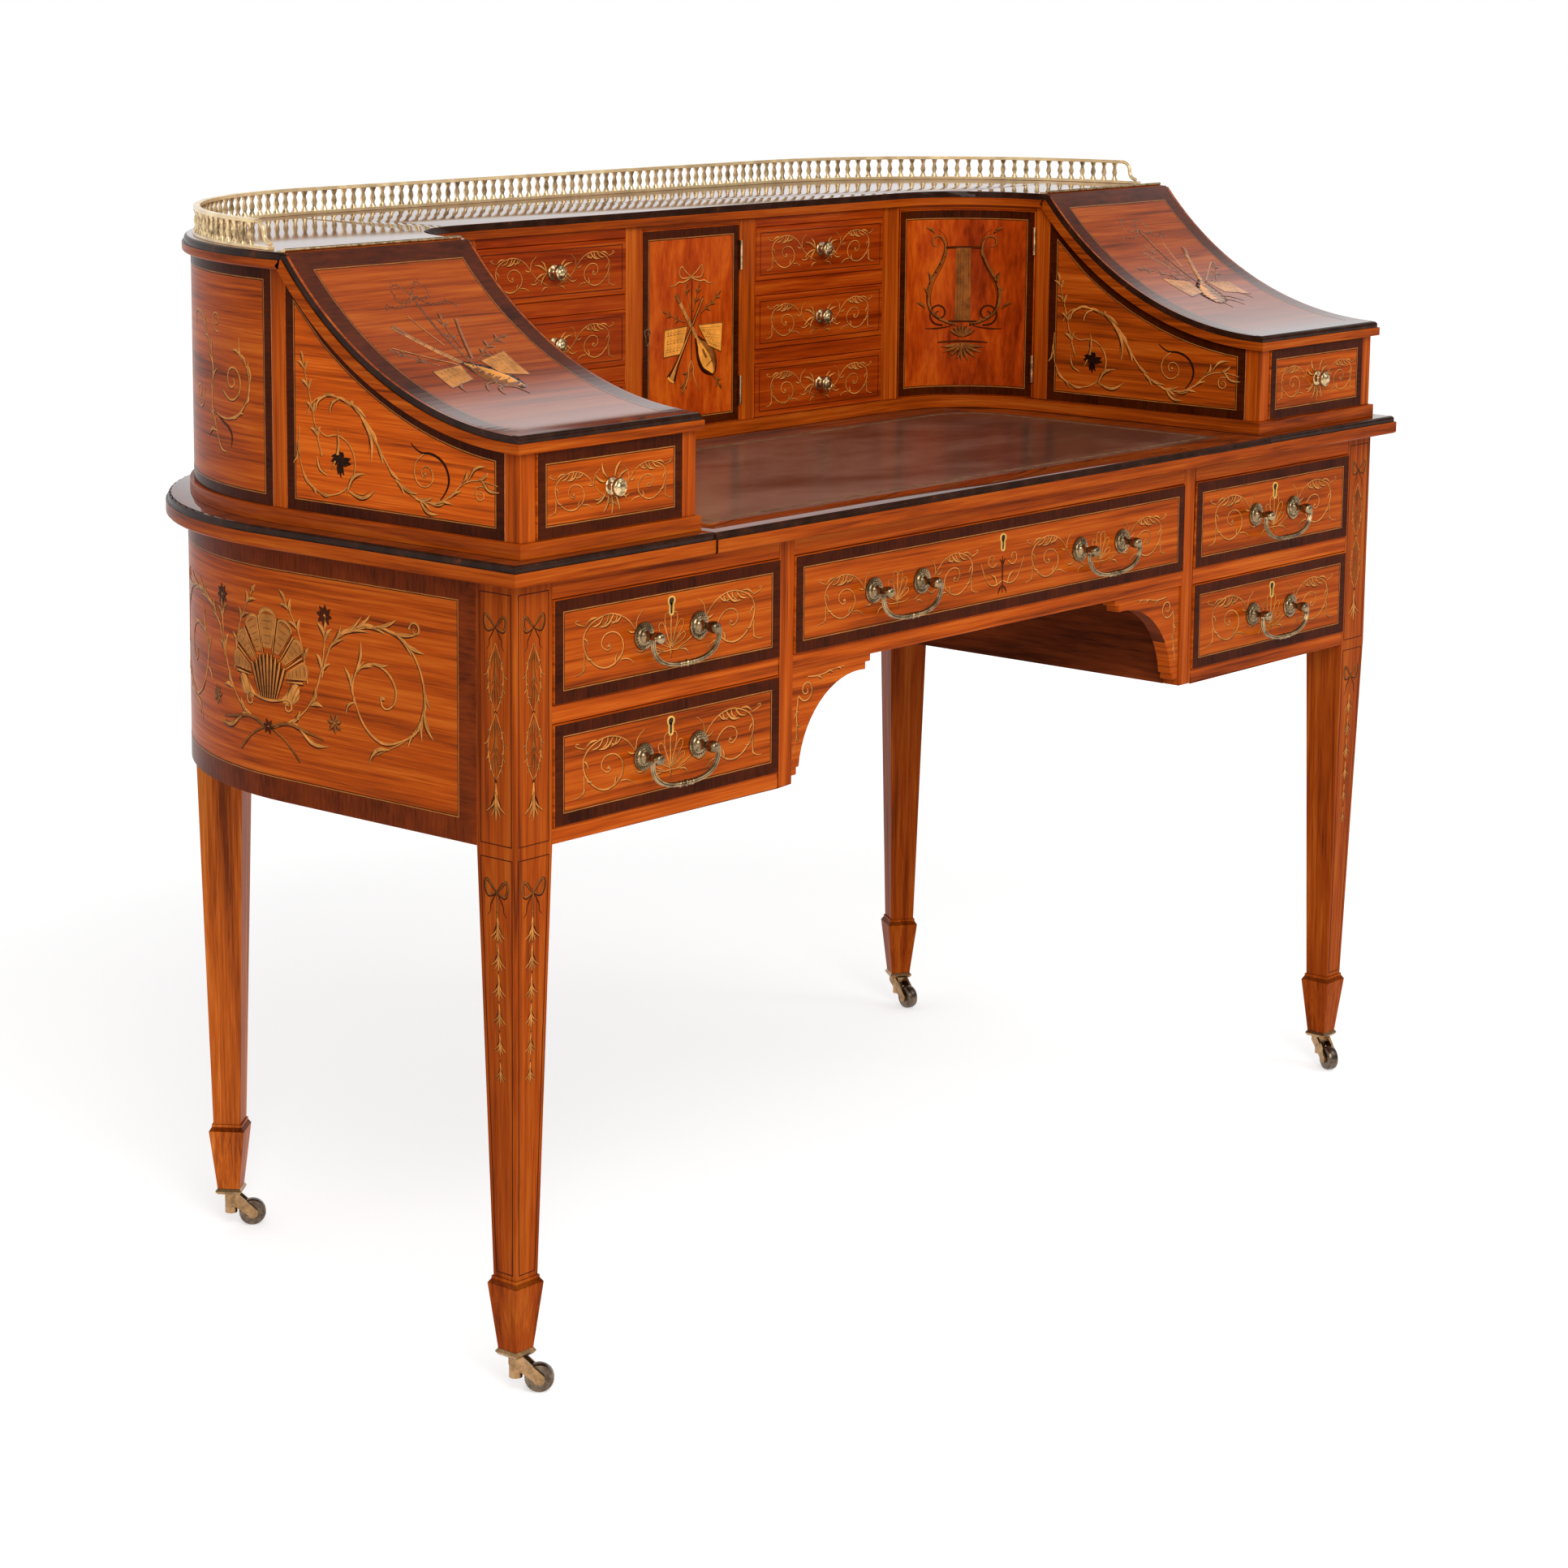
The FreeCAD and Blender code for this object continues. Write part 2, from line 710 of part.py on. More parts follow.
def base_segments():
    """The board under the stage, jointed up from two arms, a back strip and bricked corners."""
    proud = base_proud
    base = bowed(stage_half + proud, -proud, stage_depth + proud, stage_corner + proud, top_z1, stage_z0)
    base = base.cut(hollow_block(proud, top_z1, stage_z0))
    arm = base.common(box(hollow_x, FAR, -FAR, hollow_y, -FAR, FAR))
    strip = base.common(box(-hollow_x, hollow_x, hollow_y, FAR, -FAR, FAR))
    corner = base.common(box(hollow_x, FAR, hollow_y, FAR, -FAR, FAR))
    step = 90.0 / corner_bricks
    right = [arm]
    for i in range(corner_bricks):
        brick = corner.common(sector(i * step, step))
        right.append(brick)
    return [strip] + [piece for part in right for piece in pair(part)]


def sector(start, sweep):
    """An upright wedge round the middle of the right hollow corner, in degrees from the x axis."""
    wedge = Part.makeCylinder(FAR, 2 * FAR, V(0, 0, -FAR), V(0, 0, 1), sweep)
    wedge.rotate(ORIGIN, V(0, 0, 1), start)
    wedge.translate(V(hollow_x, hollow_y, 0))
    return wedge


def stage_boards():
    """The board under the stage and the moulded board on top of it."""
    over = stage_top_overhang
    half = stage_half + over
    back = stage_depth + over
    board = moulded(half, -FAR, back, stage_corner + over, stage_z1, stage_top_thick)
    board = board.common(behind_y(lid_seam))
    step = stage_z2 - bead_height
    board = board.cut(hollow_block(lid_inner, 0, FAR))
    return base_segments() + [board.cut(hollow_block(lid_inner - bead_inset, step, FAR))]


def gallery_spot(s):
    """Point on the rail's middle line, s along its right half from the middle of the back."""
    radius = stage_corner + stage_top_overhang - gallery_inset
    flat = stage_half - stage_corner
    back = stage_depth + stage_top_overhang - gallery_inset
    if s <= flat:
        return V(s, back, stage_z2)
    angle = (s - flat) / radius
    return V(flat + radius * math.sin(angle), back - radius + radius * math.cos(angle), stage_z2)


def gallery_ring(width, z0, z1, front):
    out = stage_top_overhang - gallery_inset + width / 2
    into = out - width
    outer = bowed(stage_half + out, -FAR, stage_depth + out, stage_corner + out, z0, z1)
    inner = bowed(stage_half + into, -FAR, stage_depth + into, stage_corner + into, z0, z1)
    return outer.cut(inner).common(behind_y(front))


def gallery_scroll():
    """The right-hand end of the top rail, swept down to the base rail in two quarter turns."""
    high = stage_z2 + gallery_height - scroll_bar
    low = stage_z2 + base_rail_height + scroll_bar
    turn = (high - low) / 2
    y = lid_seam + gallery_start
    radius = stage_corner + stage_top_overhang - gallery_inset
    rise = max(0.0, y + 2 * turn - corner_y)
    x = stage_half - stage_corner + math.sqrt(radius ** 2 - rise ** 2)
    c = DIAGONAL
    middle = V(x, y + turn, (high + low) / 2)
    start = V(x, y + 2 * turn, high)
    upper = Part.Arc(start, V(x, start.y - turn * c, high - turn + turn * c), middle)
    lower = Part.Arc(middle, V(x, y + turn * c, low + turn - turn * c), V(x, y, low))
    path = Part.Wire([upper.toShape(), lower.toShape()])
    section = Part.Wire([Part.makeCircle(scroll_bar, start, V(0, 1, 0))])
    return path.makePipeShell([section], True, False), start.y


def gallery_rails():
    scroll, rail_front = gallery_scroll()
    foot = lid_seam + gallery_start - scroll_bar
    base = gallery_ring(base_rail_width, stage_z2, stage_z2 + base_rail_height, foot)
    top_z = stage_z2 + gallery_height
    top = gallery_ring(top_rail_width, top_z - top_rail_height, top_z, rail_front)
    return [base, top] + pair(scroll)


def gallery_spindles():
    low = base_rail_height
    high = gallery_height - top_rail_height
    stops = [low + share * (high - low) for share in spindle_stops]
    profile = [
        (0, low),
        (spindle_waist, low),
        (spindle_waist, stops[0]),
        (spindle_bulb, stops[1]),
        (spindle_waist, stops[2]),
        (spindle_ring, stops[3]),
        (spindle_waist, stops[4]),
        (spindle_waist, high),
        (0, high),
    ]
    scroll, rail_front = gallery_scroll()
    made = []
    count = 0
    while True:
        spot = gallery_spot((count + 0.5) * spindle_pitch)
        if spot.y < rail_front + spindle_bulb:
            return made
        made += pair(turned(profile, spot, UP))
        count += 1


# Drawers, doors and brass

def drawer(x0, x1, y, z0, z1, sizes):
    """Front, sides, back and bottom of a drawer in the opening x0..x1, z0..z1, with its face at y."""
    front_thick, side_thick, bottom_thick, side_drop, depth = sizes
    f0 = x0 + gap
    f1 = x1 - gap
    s0 = f0 + side_inset
    s1 = f1 - side_inset
    inside = y + front_thick
    back = y + depth
    low = z0 + seat
    high = z1 - side_drop
    floor = low + bottom_lift
    return [
        box(f0, f1, y, inside, low, z1 - gap),
        box(s0, s0 + side_thick, inside, back, low, high),
        box(s1 - side_thick, s1, inside, back, low, high),
        box(s0 + side_thick, s1 - side_thick, back - side_thick, back, low, high),
        box(s0 + side_thick, s1 - side_thick, inside, back - side_thick, floor, floor + bottom_thick),
    ]


def frieze_brass(x, z, handles):
    """Back plates with posts for the handles, and the keyhole escutcheon."""
    face = -frieze_proud
    out = V(0, -1, 0)
    made = []
    for middle in handles:
        for side in (-1, 1):
            spot = V(middle + side * bail_spacing / 2, face, z)
            plate = turned([(0, 0), (rosette_radius, 0), (rosette_radius, rosette_edge),
                            (rosette_dome_radius, rosette_thick), (0, rosette_thick)], spot, out)
            post = rod(post_radius, post_length, spot, out)
            ball = Part.makeSphere(ball_radius, spot + out * post_length)
            side_on = spot + V(-2 * ball_radius, -post_length, 0)
            bore = rod(bail_wire + pin_clearance, 4 * ball_radius, side_on, V(1, 0, 0))
            made.append(plate.multiFuse([post, ball]).cut(bore))
    hole = V(x, face, z + escutcheon_rise)
    disc = rod(escutcheon_radius, escutcheon_thick, hole, out)
    half = escutcheon_tail / 2
    tail = box(x - half, x + half, face - escutcheon_thick, face, hole.z - escutcheon_length, hole.z)
    made.append(disc.fuse(tail))
    return made


def bail(x, z):
    """A hanging bail whose inward ends turn in the balls of its two posts."""
    y = -frieze_proud - post_length
    half = bail_spacing / 2 + ball_radius + bail_bend
    fall = bail_drop - bail_bend
    side_radius = fall - bail_belly
    inner = half - side_radius
    low_radius = (inner ** 2 + fall ** 2 - side_radius ** 2) / (2 * bail_belly)
    low_centre = low_radius - bail_drop
    reach = math.hypot(inner, low_centre + bail_bend)
    ux = inner / reach
    uz = (low_centre + bail_bend) / reach
    join = V(low_radius * ux, 0, low_centre - low_radius * uz)
    half_way = math.atan2(uz, ux) / 2
    c = DIAGONAL
    side_mid = V(inner + side_radius * math.cos(half_way), 0, -bail_bend - side_radius * math.sin(half_way))
    pin_end = V(bail_spacing / 2 - ball_radius, 0, 0)
    pin_out = V(half - bail_bend, 0, 0)
    bend_mid = V(half - bail_bend + bail_bend * c, 0, -bail_bend + bail_bend * c)
    drop = V(half, 0, -bail_bend)
    low = V(0, 0, -bail_drop)

    def other(p):
        return V(-p.x, p.y, p.z)

    edges = [
        Part.makeLine(pin_end, pin_out),
        Part.Arc(pin_out, bend_mid, drop).toShape(),
        Part.Arc(drop, side_mid, join).toShape(),
        Part.Arc(join, low, other(join)).toShape(),
        Part.Arc(other(join), other(side_mid), other(drop)).toShape(),
        Part.Arc(other(drop), other(bend_mid), other(pin_out)).toShape(),
        Part.makeLine(other(pin_out), other(pin_end)),
    ]
    section = Part.Wire([Part.makeCircle(bail_wire, pin_end, V(1, 0, 0))])
    shape = Part.Wire(edges).makePipeShell([section], True, False)
    shape.translate(V(x, y, z))
    return shape


def knob(x, y, z):
    steps = [
        (0, 0),
        (knob_base_radius, 0),
        (knob_base_radius, knob_base_edge),
        (knob_neck_radius, knob_base_thick - knob_base_edge),
        (knob_neck_radius, knob_neck_length),
        (knob_cup_radius, knob_cup_length),
        (knob_head_radius, knob_swell_length),
        (knob_shoulder_radius, knob_shoulder_length),
        (knob_crown_radius, knob_crown_length),
        (0, 0),
    ]
    profile = []
    reach = 0.0
    for radius, length in steps:
        reach += length
        profile.append((radius, reach))
    return turned(profile, V(x, y, z), V(0, -1, 0))


def door_heights():
    return stage_z0 + seat, stage_z1 - small_top_rail / 2


def centre_door():
    """A flat door whose closing edge is eased to the radius of its swing."""
    low, high = door_heights()
    left = -centre_door_half + gap
    board = box(left, centre_door_half - door_edge_gap, stage_wall, stage_wall + door_thick, low, high)
    axis = V(centre_door_half - leaf_thick, stage_wall - hinge_stand, low)
    swing = math.hypot(axis.x - left, hinge_stand)
    return board.common(rod(swing, high - low, axis, UP))


def corner_door():
    """The right corner door: a quarter of a hollow cylinder, its closing edge eased to its swing."""
    low, high = door_heights()
    outer = rod(inner_corner + corner_door_thick, high - low, V(hollow_x, hollow_y, low), UP)
    inner = rod(inner_corner, high - low, V(hollow_x, hollow_y, low), UP)
    left = hollow_x + gap
    quarter = box(left, FAR, hollow_y + door_edge_gap, FAR, 0, FAR)
    axis = V(stage_inner_half - hinge_stand, hollow_y + leaf_thick, low)
    swing = math.hypot(axis.x - left, stage_wall - axis.y)
    return outer.cut(inner).common(quarter).common(rod(swing, high - low, axis, UP))


def hinges():
    """Knuckles and leaves of the three doors, and the strip hinges of the lids."""
    low, high = door_heights()
    made = []
    for z in (low + hinge_inset, high - hinge_inset):
        foot = z - hinge_length / 2
        x = centre_door_half - leaf_thick
        y = stage_wall - hinge_stand
        knuckle = rod(hinge_radius, hinge_length, V(x, y, foot), UP)
        leaf = box(x, centre_door_half, y, stage_wall + leaf_width, foot, foot + hinge_length)
        made.append(knuckle.fuse(leaf).removeSplitter())
        x = stage_inner_half - hinge_stand
        y = hollow_y + leaf_thick
        knuckle = rod(hinge_radius, hinge_length, V(x, y, foot), UP)
        leaf = box(x, stage_inner_half + leaf_width, hollow_y, y, foot, foot + hinge_length)
        made += pair(knuckle.fuse(leaf).removeSplitter())
    x0 = lid_x0 + strip_inset
    x1 = lid_x1 - strip_inset
    y = lid_seam
    z = stage_z2 + strip_radius + pin_clearance
    knuckle = rod(strip_radius, x1 - x0, V(x0, y, z), V(1, 0, 0))
    leaf = box(x0, x1, y, y + strip_leaf, stage_z2, stage_z2 + strip_leaf_thick)
    made += pair(knuckle.fuse(leaf).removeSplitter())
    return made


os.makedirs("parts", exist_ok=True)

save("legs", *legs())
save("caster_plates", *caster_plates())
fork_shape = caster_fork()
wheel_shape = caster_wheel()
for corner in caster_angles:
    save("caster_fork_" + corner, at_caster(fork_shape, corner))
    save("caster_wheel_" + corner, at_caster(wheel_shape, corner))

save("carcass_panels", *carcass_panels())
save("front_frame", *front_frame())
save("inner_frame", *inner_frame())
save("main_top", *main_top())
save("writing_slide", writing_slide())
save("writing_leather", leather())

save("stage_carcase", *stage_carcase())
save("stage_panels", *stage_panels())
save("stage_frame", *stage_frame())
save("stage_boards", *stage_boards())
save("gallery_rails", *gallery_rails())
save("gallery_spindles", *gallery_spindles())
save("hinges", *hinges())

right_lid = lid()
save("lid_right", right_lid)
save("lid_left", mirrored(right_lid))
save("centre_door", centre_door())
right_door = corner_door()
save("corner_door_right", right_door)
save("corner_door_left", mirrored(right_door))

frieze_sizes = (frieze_front_thick, frieze_side_thick, frieze_bottom_thick, frieze_side_drop)
side_sizes = frieze_sizes + (side_drawer_depth,)
centre_sizes = frieze_sizes + (centre_drawer_depth,)
for row, z0, z1 in (("lower", lower_z0, lower_z1), ("upper", upper_z0, upper_z1)):
    for hand, side in (("left", -1), ("right", 1)):
        ends = sorted((side * pedestal_x0, side * pedestal_x1))
        middle = sum(ends) / 2
        level = (z0 + z1) / 2
        save("drawer_%s_%s" % (hand, row), *drawer(ends[0], ends[1], -frieze_proud, z0, z1, side_sizes))
        save("drawer_brass_%s_%s" % (hand, row), *frieze_brass(middle, level, [middle]))
        save("bail_%s_%s" % (hand, row), bail(middle, level))
level = (upper_z0 + upper_z1) / 2
half = kneehole_half
save("drawer_centre", *drawer(-half, half, -frieze_proud, upper_z0, upper_z1, centre_sizes))
save("drawer_brass_centre", *frieze_brass(0, level, [-centre_handle, centre_handle]))
save("bail_centre_left", bail(-centre_handle, level))
save("bail_centre_right", bail(centre_handle, level))

thin_sizes = (small_front_thick, small_side_thick, small_bottom_thick)
small_sizes = thin_sizes + (small_side_drop, small_drawer_depth)
block_sizes = thin_sizes + (block_side_drop, block_drawer_depth)
for hand, side in (("left", -1), ("right", 1)):
    ends = sorted((side * column_x0, side * column_x1))
    face = stage_wall - small_proud
    for row, z0 in zip(("bottom", "middle", "top"), small_levels):
        z1 = z0 + small_drawer_height
        save("small_drawer_%s_%s" % (hand, row), *drawer(ends[0], ends[1], face, z0, z1, small_sizes))
        save("knob_%s_%s" % (hand, row), knob(sum(ends) / 2, face, (z0 + z1) / 2))
    ends = sorted((side * block_x0, side * block_x1))
    face = -small_proud
    z1 = block_z1 - seat
    save("end_drawer_%s" % hand, *drawer(ends[0], ends[1], face, stage_z0, z1, block_sizes))
    save("knob_%s_end" % hand, knob(sum(ends) / 2, face, (stage_z0 + z1) / 2))
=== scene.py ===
import json
import math

import bmesh
import bpy
from bpy.props import FloatProperty, FloatVectorProperty, PointerProperty
from mathutils import Matrix, Vector

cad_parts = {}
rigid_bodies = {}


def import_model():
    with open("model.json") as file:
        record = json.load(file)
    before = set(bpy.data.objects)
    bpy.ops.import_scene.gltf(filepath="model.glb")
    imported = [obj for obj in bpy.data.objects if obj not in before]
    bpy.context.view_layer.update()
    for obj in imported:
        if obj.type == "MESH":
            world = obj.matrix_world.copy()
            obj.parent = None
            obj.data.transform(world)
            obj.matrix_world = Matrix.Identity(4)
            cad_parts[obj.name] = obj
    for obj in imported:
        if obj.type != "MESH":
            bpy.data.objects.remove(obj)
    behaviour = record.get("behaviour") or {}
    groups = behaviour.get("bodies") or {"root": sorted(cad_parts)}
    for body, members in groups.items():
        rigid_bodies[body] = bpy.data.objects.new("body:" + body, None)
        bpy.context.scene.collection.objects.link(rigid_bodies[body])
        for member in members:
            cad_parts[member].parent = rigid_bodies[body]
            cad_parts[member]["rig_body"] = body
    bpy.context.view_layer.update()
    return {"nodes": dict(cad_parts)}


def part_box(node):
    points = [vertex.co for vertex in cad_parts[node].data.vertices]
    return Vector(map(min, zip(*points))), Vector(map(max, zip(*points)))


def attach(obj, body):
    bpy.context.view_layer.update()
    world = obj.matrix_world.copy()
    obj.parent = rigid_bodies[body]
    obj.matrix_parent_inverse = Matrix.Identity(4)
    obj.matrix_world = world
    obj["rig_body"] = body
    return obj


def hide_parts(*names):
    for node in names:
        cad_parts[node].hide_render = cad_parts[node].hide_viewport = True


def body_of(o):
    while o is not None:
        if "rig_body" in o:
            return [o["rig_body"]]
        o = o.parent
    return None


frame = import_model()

bl_info = {
    "name": "Carlton house desk",
    "version": (1, 0, 0),
    "blender": (4, 5, 0),
    "location": "3D View > Sidebar > Desk",
    "description": "Woods, inlay, brass, leather and studio of a carlton house desk",
    "category": "Object",
}

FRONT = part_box("legs")[0].y * 1000  # front plane of the carcass in the frame, mm

# Sizes of the solids that the trim follows, in millimetres from the floor and the carcass's front.
CARCASS_HALF = 673.0
CARCASS_BOTTOM = 487.0
CARCASS_TOP = 717.0
CARCASS_DEPTH = 609.0
CORNER_Y = 285.0
KNEEHOLE_HALF = 311.0
KNEEHOLE_TOP = 592.3
CARCASS_CORNER = 324.0
STAGE_HALF = 666.0
STAGE_CORNER = 319.0
STAGE_DEPTH = 604.0
STAGE_FLOOR = 749.5
STAGE_CEILING = 959.0
STAGE_TOP = 974.0
BAY_HALF = 447.0
BAY_WALL = 400.0
HOLLOW_RADIUS = 106.0
TOP_STEP = 729.5
TOP_LEVEL = 736.0
STAGE_STEP = 967.5
LID_INNER = 442.0
LID_OUTER = 674.0
LID_FRONT = -6.0
LID_RADIUS = 365.8
LID_CENTRE = 1205.8
LID_LAND = 277.0
LID_SEAM = 282.6
LID_THICK = 15.0
LID_STEP = 6.5
LID_INSET = 2.0
LID_BEAD = 3.4
LID_SWEEP = LID_RADIUS * math.asin((LID_LAND - LID_FRONT) / LID_RADIUS)
LEG_MIDDLE = 650.5
LEG_FRONT = 22.5
LEG_HALF = 22.5
ANKLE_HALF = 13.35
ANKLE = 106.0
DRAWER_FACE = -2.0
DRAWER_FRONT = 20.0
SMALL_FRONT = 13.0
SMALL_FACE = 398.5
END_FACE = -1.5
UPPER_ROW = (607.3, 697.5)
ROWS = {"lower": (501.3, 590.5), "upper": UPPER_ROW}
SIDE_DRAWER = (332.5, 627.5)
CENTRE_DRAWER_HALF = 311.5
SMALL_DRAWER = (100.5, 311.5)
SMALL_ROWS = {"bottom": 749.5, "middle": 821.0, "top": 892.5}
SMALL_HEIGHT = 56.5
END_DRAWER = (465.5, 647.5)
END_ROW = (749.8, 824.2)
LEATHER_HALF = 407.0
LEATHER_FRONT = 18.0
LEATHER_BACK = 360.0
LEATHER_CORNER = 66.0
DIVIDER = (311.0, 333.0)
SMALL_RAIL = (102.0, 311.0)
SIDE_PANEL = (45.5, 563.0)
STAGE_PANEL = (301.5, 785.0)
BLOCK_FRONT = 18.4
BLOCK_OUTER_BACK = 282.0
BLOCK_INNER_BACK = 274.6
DOOR_ROW = (750.6, 953.2)
CENTRE_DOOR = (-74.4, 73.9)
CORNER_DOOR = (2.0, 164.5)
DOOR_LOCK = (-67.6, 846.0)
LOCK_RISE = 21.0
BRACKET_CORNER = (312.0, 2.0, 497.0)
SHELL_MIDDLE = 304.0
STAGE_MIDDLE = 543.0
CENTRE_HANDLE = 163.0
POST_HALF = 36.0
BAIL_AXIS = -20.0
BAIL_DROP = -26.4
SIDES = {"left": -1, "right": 1}

# Trim: gaps to the edge of a front or panel, margin of a line or a lid's band, width of a dark line,
# shift and growth of the scorched edge below pale inlay, panels of a leg (foot, head, margin), and the
# axis along which a face bends with the step at which trim is cut to follow it.
FRONT_GAP = 0.8
PANEL_GAP = 0.5
TRIM_MARGIN = 5.6
DARK_LINE = 0.9
SCORCH_SHIFT = (0.22, -0.27, 0.0)
SCORCH_GROWTH = 0.05
LEG_PANELS = ((491.0, 707.0, 4.0), (110.0, 480.0, 3.4))
ROUND_BOW = (0, 7.0)
ROUND_HOLLOW = (0, 5.0)
UP_SWEEP = (1, 8.0)
UP_SWEEP_FINE = (1, 6.0)
DEEP = ("deep_upright", "deep_level")

# Welding of a solid's loose triangles in metres, and of drawn trim in millimetres.
WELD = 2e-6
TRIM_WELD = 1e-4

# Studio, in metres and degrees.
FLOOR_HALF = 30.0
KEY_LAMP = (2.6, (-2.4, -3.2, 3.0))
FILL_LAMP = (2.4, (1.7, -3.1, 3.4))
LAMP_AIM = (0.0, 0.0, 0.6)
NEAR_FLOOR = 0.79
FLOOR_LIFT = (1.2, 2.4)
CAMERA_PLACE = (-2.9055, -2.4633, 1.2512)
CAMERA_HEADING = -50.044
CAMERA_DIP = 9.916
CAMERA_ROLL = 0.586
CAMERA_SHIFT = -0.12
WHITE = (1, 1, 1, 1)
BLACK = (0, 0, 0, 1)

# Varnish on upright faces, on the lids and on the level tops.
SATIN_POLISH = {"Coat Weight": 0.5, "Coat IOR": 1.15, "Coat Roughness": 0.16, "Specular IOR Level": 0.0}
LID_POLISH = {"Coat Weight": 1.0, "Coat IOR": 1.8, "Coat Roughness": 0.10, "Specular IOR Level": 0.0}
TOP_POLISH = {"Coat Weight": 1.0, "Coat IOR": 1.5, "Coat Roughness": 0.06, "Specular IOR Level": 0.0}

# Heights between which the lids turn darker towards their lower edge, in metres.
LID_DARKENING = (0.84, 0.89)


def colour(name, description, default):
    return FloatVectorProperty(name=name, description=description, default=default, subtype="COLOR",
                               size=3, min=0.0, max=1.0)


def length(name, description, default):
    return FloatProperty(name=name, description=description, default=default, unit="LENGTH", min=0.0)


class WoodSettings(bpy.types.PropertyGroup):
    satin_pale: colour("Satinwood, pale", "Palest streaks of the satinwood", (0.60, 0.131, 0.011))
    satin: colour("Satinwood", "Body of the satinwood", (0.445, 0.0685, 0.0036))
    satin_dark: colour("Satinwood, dark", "Dark streaks of the satinwood", (0.155, 0.0230, 0.0026))
    red_pale: colour("Red wood, pale", "Palest figure of the doors", (0.60, 0.100, 0.006))
    red: colour("Red wood", "Body of the doors", (0.44, 0.050, 0.0030))
    red_dark: colour("Red wood, dark", "Dark figure of the doors", (0.20, 0.0180, 0.0010))
    top: colour("Polished tops", "Flat tops and the inside of the kneehole", (0.150, 0.027, 0.006))
    top_dark: colour("Polished tops, dark", "Dark figure of the tops", (0.055, 0.010, 0.003))
    band: colour("Crossbanding", "Body of the dark bands", (0.150, 0.0235, 0.0030))
    band_dark: colour("Crossbanding, dark", "Pores of the dark bands", (0.080, 0.0120, 0.0016))
    bead: colour("Bead", "Blackened moulding round the tops", (0.020, 0.0072, 0.0038))
    lining: colour("Lining", "Drawer sides, bottoms and inner boards", (0.36, 0.185, 0.075))
    boxwood: colour("Boxwood", "Pale inlay", (0.70, 0.265, 0.056))
    tan: colour("Tan inlay", "Inlay scorched to a middle tone", (0.33, 0.100, 0.018))
    line: colour("Stringing", "Thin pale lines inside the bands", (0.46, 0.165, 0.034))
    umber: colour("Dark inlay", "Dark lines and flowers of the inlay", (0.075, 0.0145, 0.0020))
    ebony: colour("Black inlay", "Black flowers of the end blocks", (0.016, 0.0062, 0.0034))
    page: colour("Bright inlay", "Pages of music and bellies of instruments", (0.95, 0.355, 0.048))
    edge: length("Eased edge", "Width of the eased edges of boards", 0.0008)


class InlaySettings(bpy.types.PropertyGroup):
    frieze_band: length("Frieze drawer band", "Width of the dark band on the frieze drawers", 0.0102)
    side_band: length("Side panel band", "Width of the dark band on the lower sides", 0.0205)
    lid_band: length("Lid band", "Width of the dark band on the lids", 0.019)
    block_band: length("Block band", "Width of the dark band on the end blocks", 0.0095)
    door_band: length("Door band", "Width of the dark band on the doors", 0.0085)
    string: length("Stringing", "Width of one light or dark line", 0.00085)
    lift: length("Inlay lift", "Height of the inlay above the wood", 0.00012)
    weight: FloatProperty(name="Stroke weight", description="Thickens all the drawn lines of the inlay",
                          default=1.2, min=0.1)


class BrassSettings(bpy.types.PropertyGroup):
    aged: colour("Aged brass", "Handles", (0.35, 0.240, 0.125))
    aged_dark: colour("Aged brass, dark", "Tarnish in the handles", (0.13, 0.085, 0.045))
    bright: colour("Bright brass", "Knobs and gallery", (0.71, 0.515, 0.275))
    bright_dark: colour("Bright brass, dark", "Tarnish of knobs and gallery", (0.26, 0.18, 0.085))
    caster: colour("Caster brass", "Forks and plates of the casters", (0.42, 0.245, 0.115))
    wheel: colour("Wheels", "Dark wheels of the casters", (0.185, 0.135, 0.095))


class LeatherSettings(bpy.types.PropertyGroup):
    # The leather's body is lighter and greyer than the bare hide: partly painted sheen.
    hide: colour("Leather", "Body of the leather", (0.148, 0.0820, 0.0585))
    # The dark tint serves both worn patches and the darker end of the painted sheen, to the right.
    hide_worn_and_shaded: colour("Leather, dark", "Worn dark parts of the leather", (0.065, 0.0330, 0.0225))
    gilt: colour("Gilt", "Rims of the keyholes", (0.85, 0.50, 0.12))
    tooling: colour("Tooling", "Worn gold of the stamped border", (0.24, 0.125, 0.062))


class StudioSettings(bpy.types.PropertyGroup):
    key: FloatProperty(name="Key light", description="Power of the large soft lamp", default=112.0,
                       unit="POWER")
    fill: FloatProperty(name="Fill light", description="Power of the lamp on the right", default=32.0,
                        unit="POWER")
    sky: FloatProperty(name="Sky", description="Strength of the even light from all round", default=0.62)
    room: FloatProperty(name="Room", description="Brightness of the room that polished faces mirror",
                        default=0.14)
    floor: colour("Floor", "Pale studio floor", (0.80, 0.80, 0.80))
    glow: FloatProperty(name="Floor glow", description="Lifts the floor to white in the picture alone",
                        default=0.58)
    lens: FloatProperty(name="Lens", description="Focal length of the camera in millimetres", default=87.166,
                        unit="CAMERA")


def tinted(tint, share):
    return [share * c for c in tint]


def woods():
    return bpy.context.scene.desk_wood


def inlays():
    return bpy.context.scene.desk_inlay


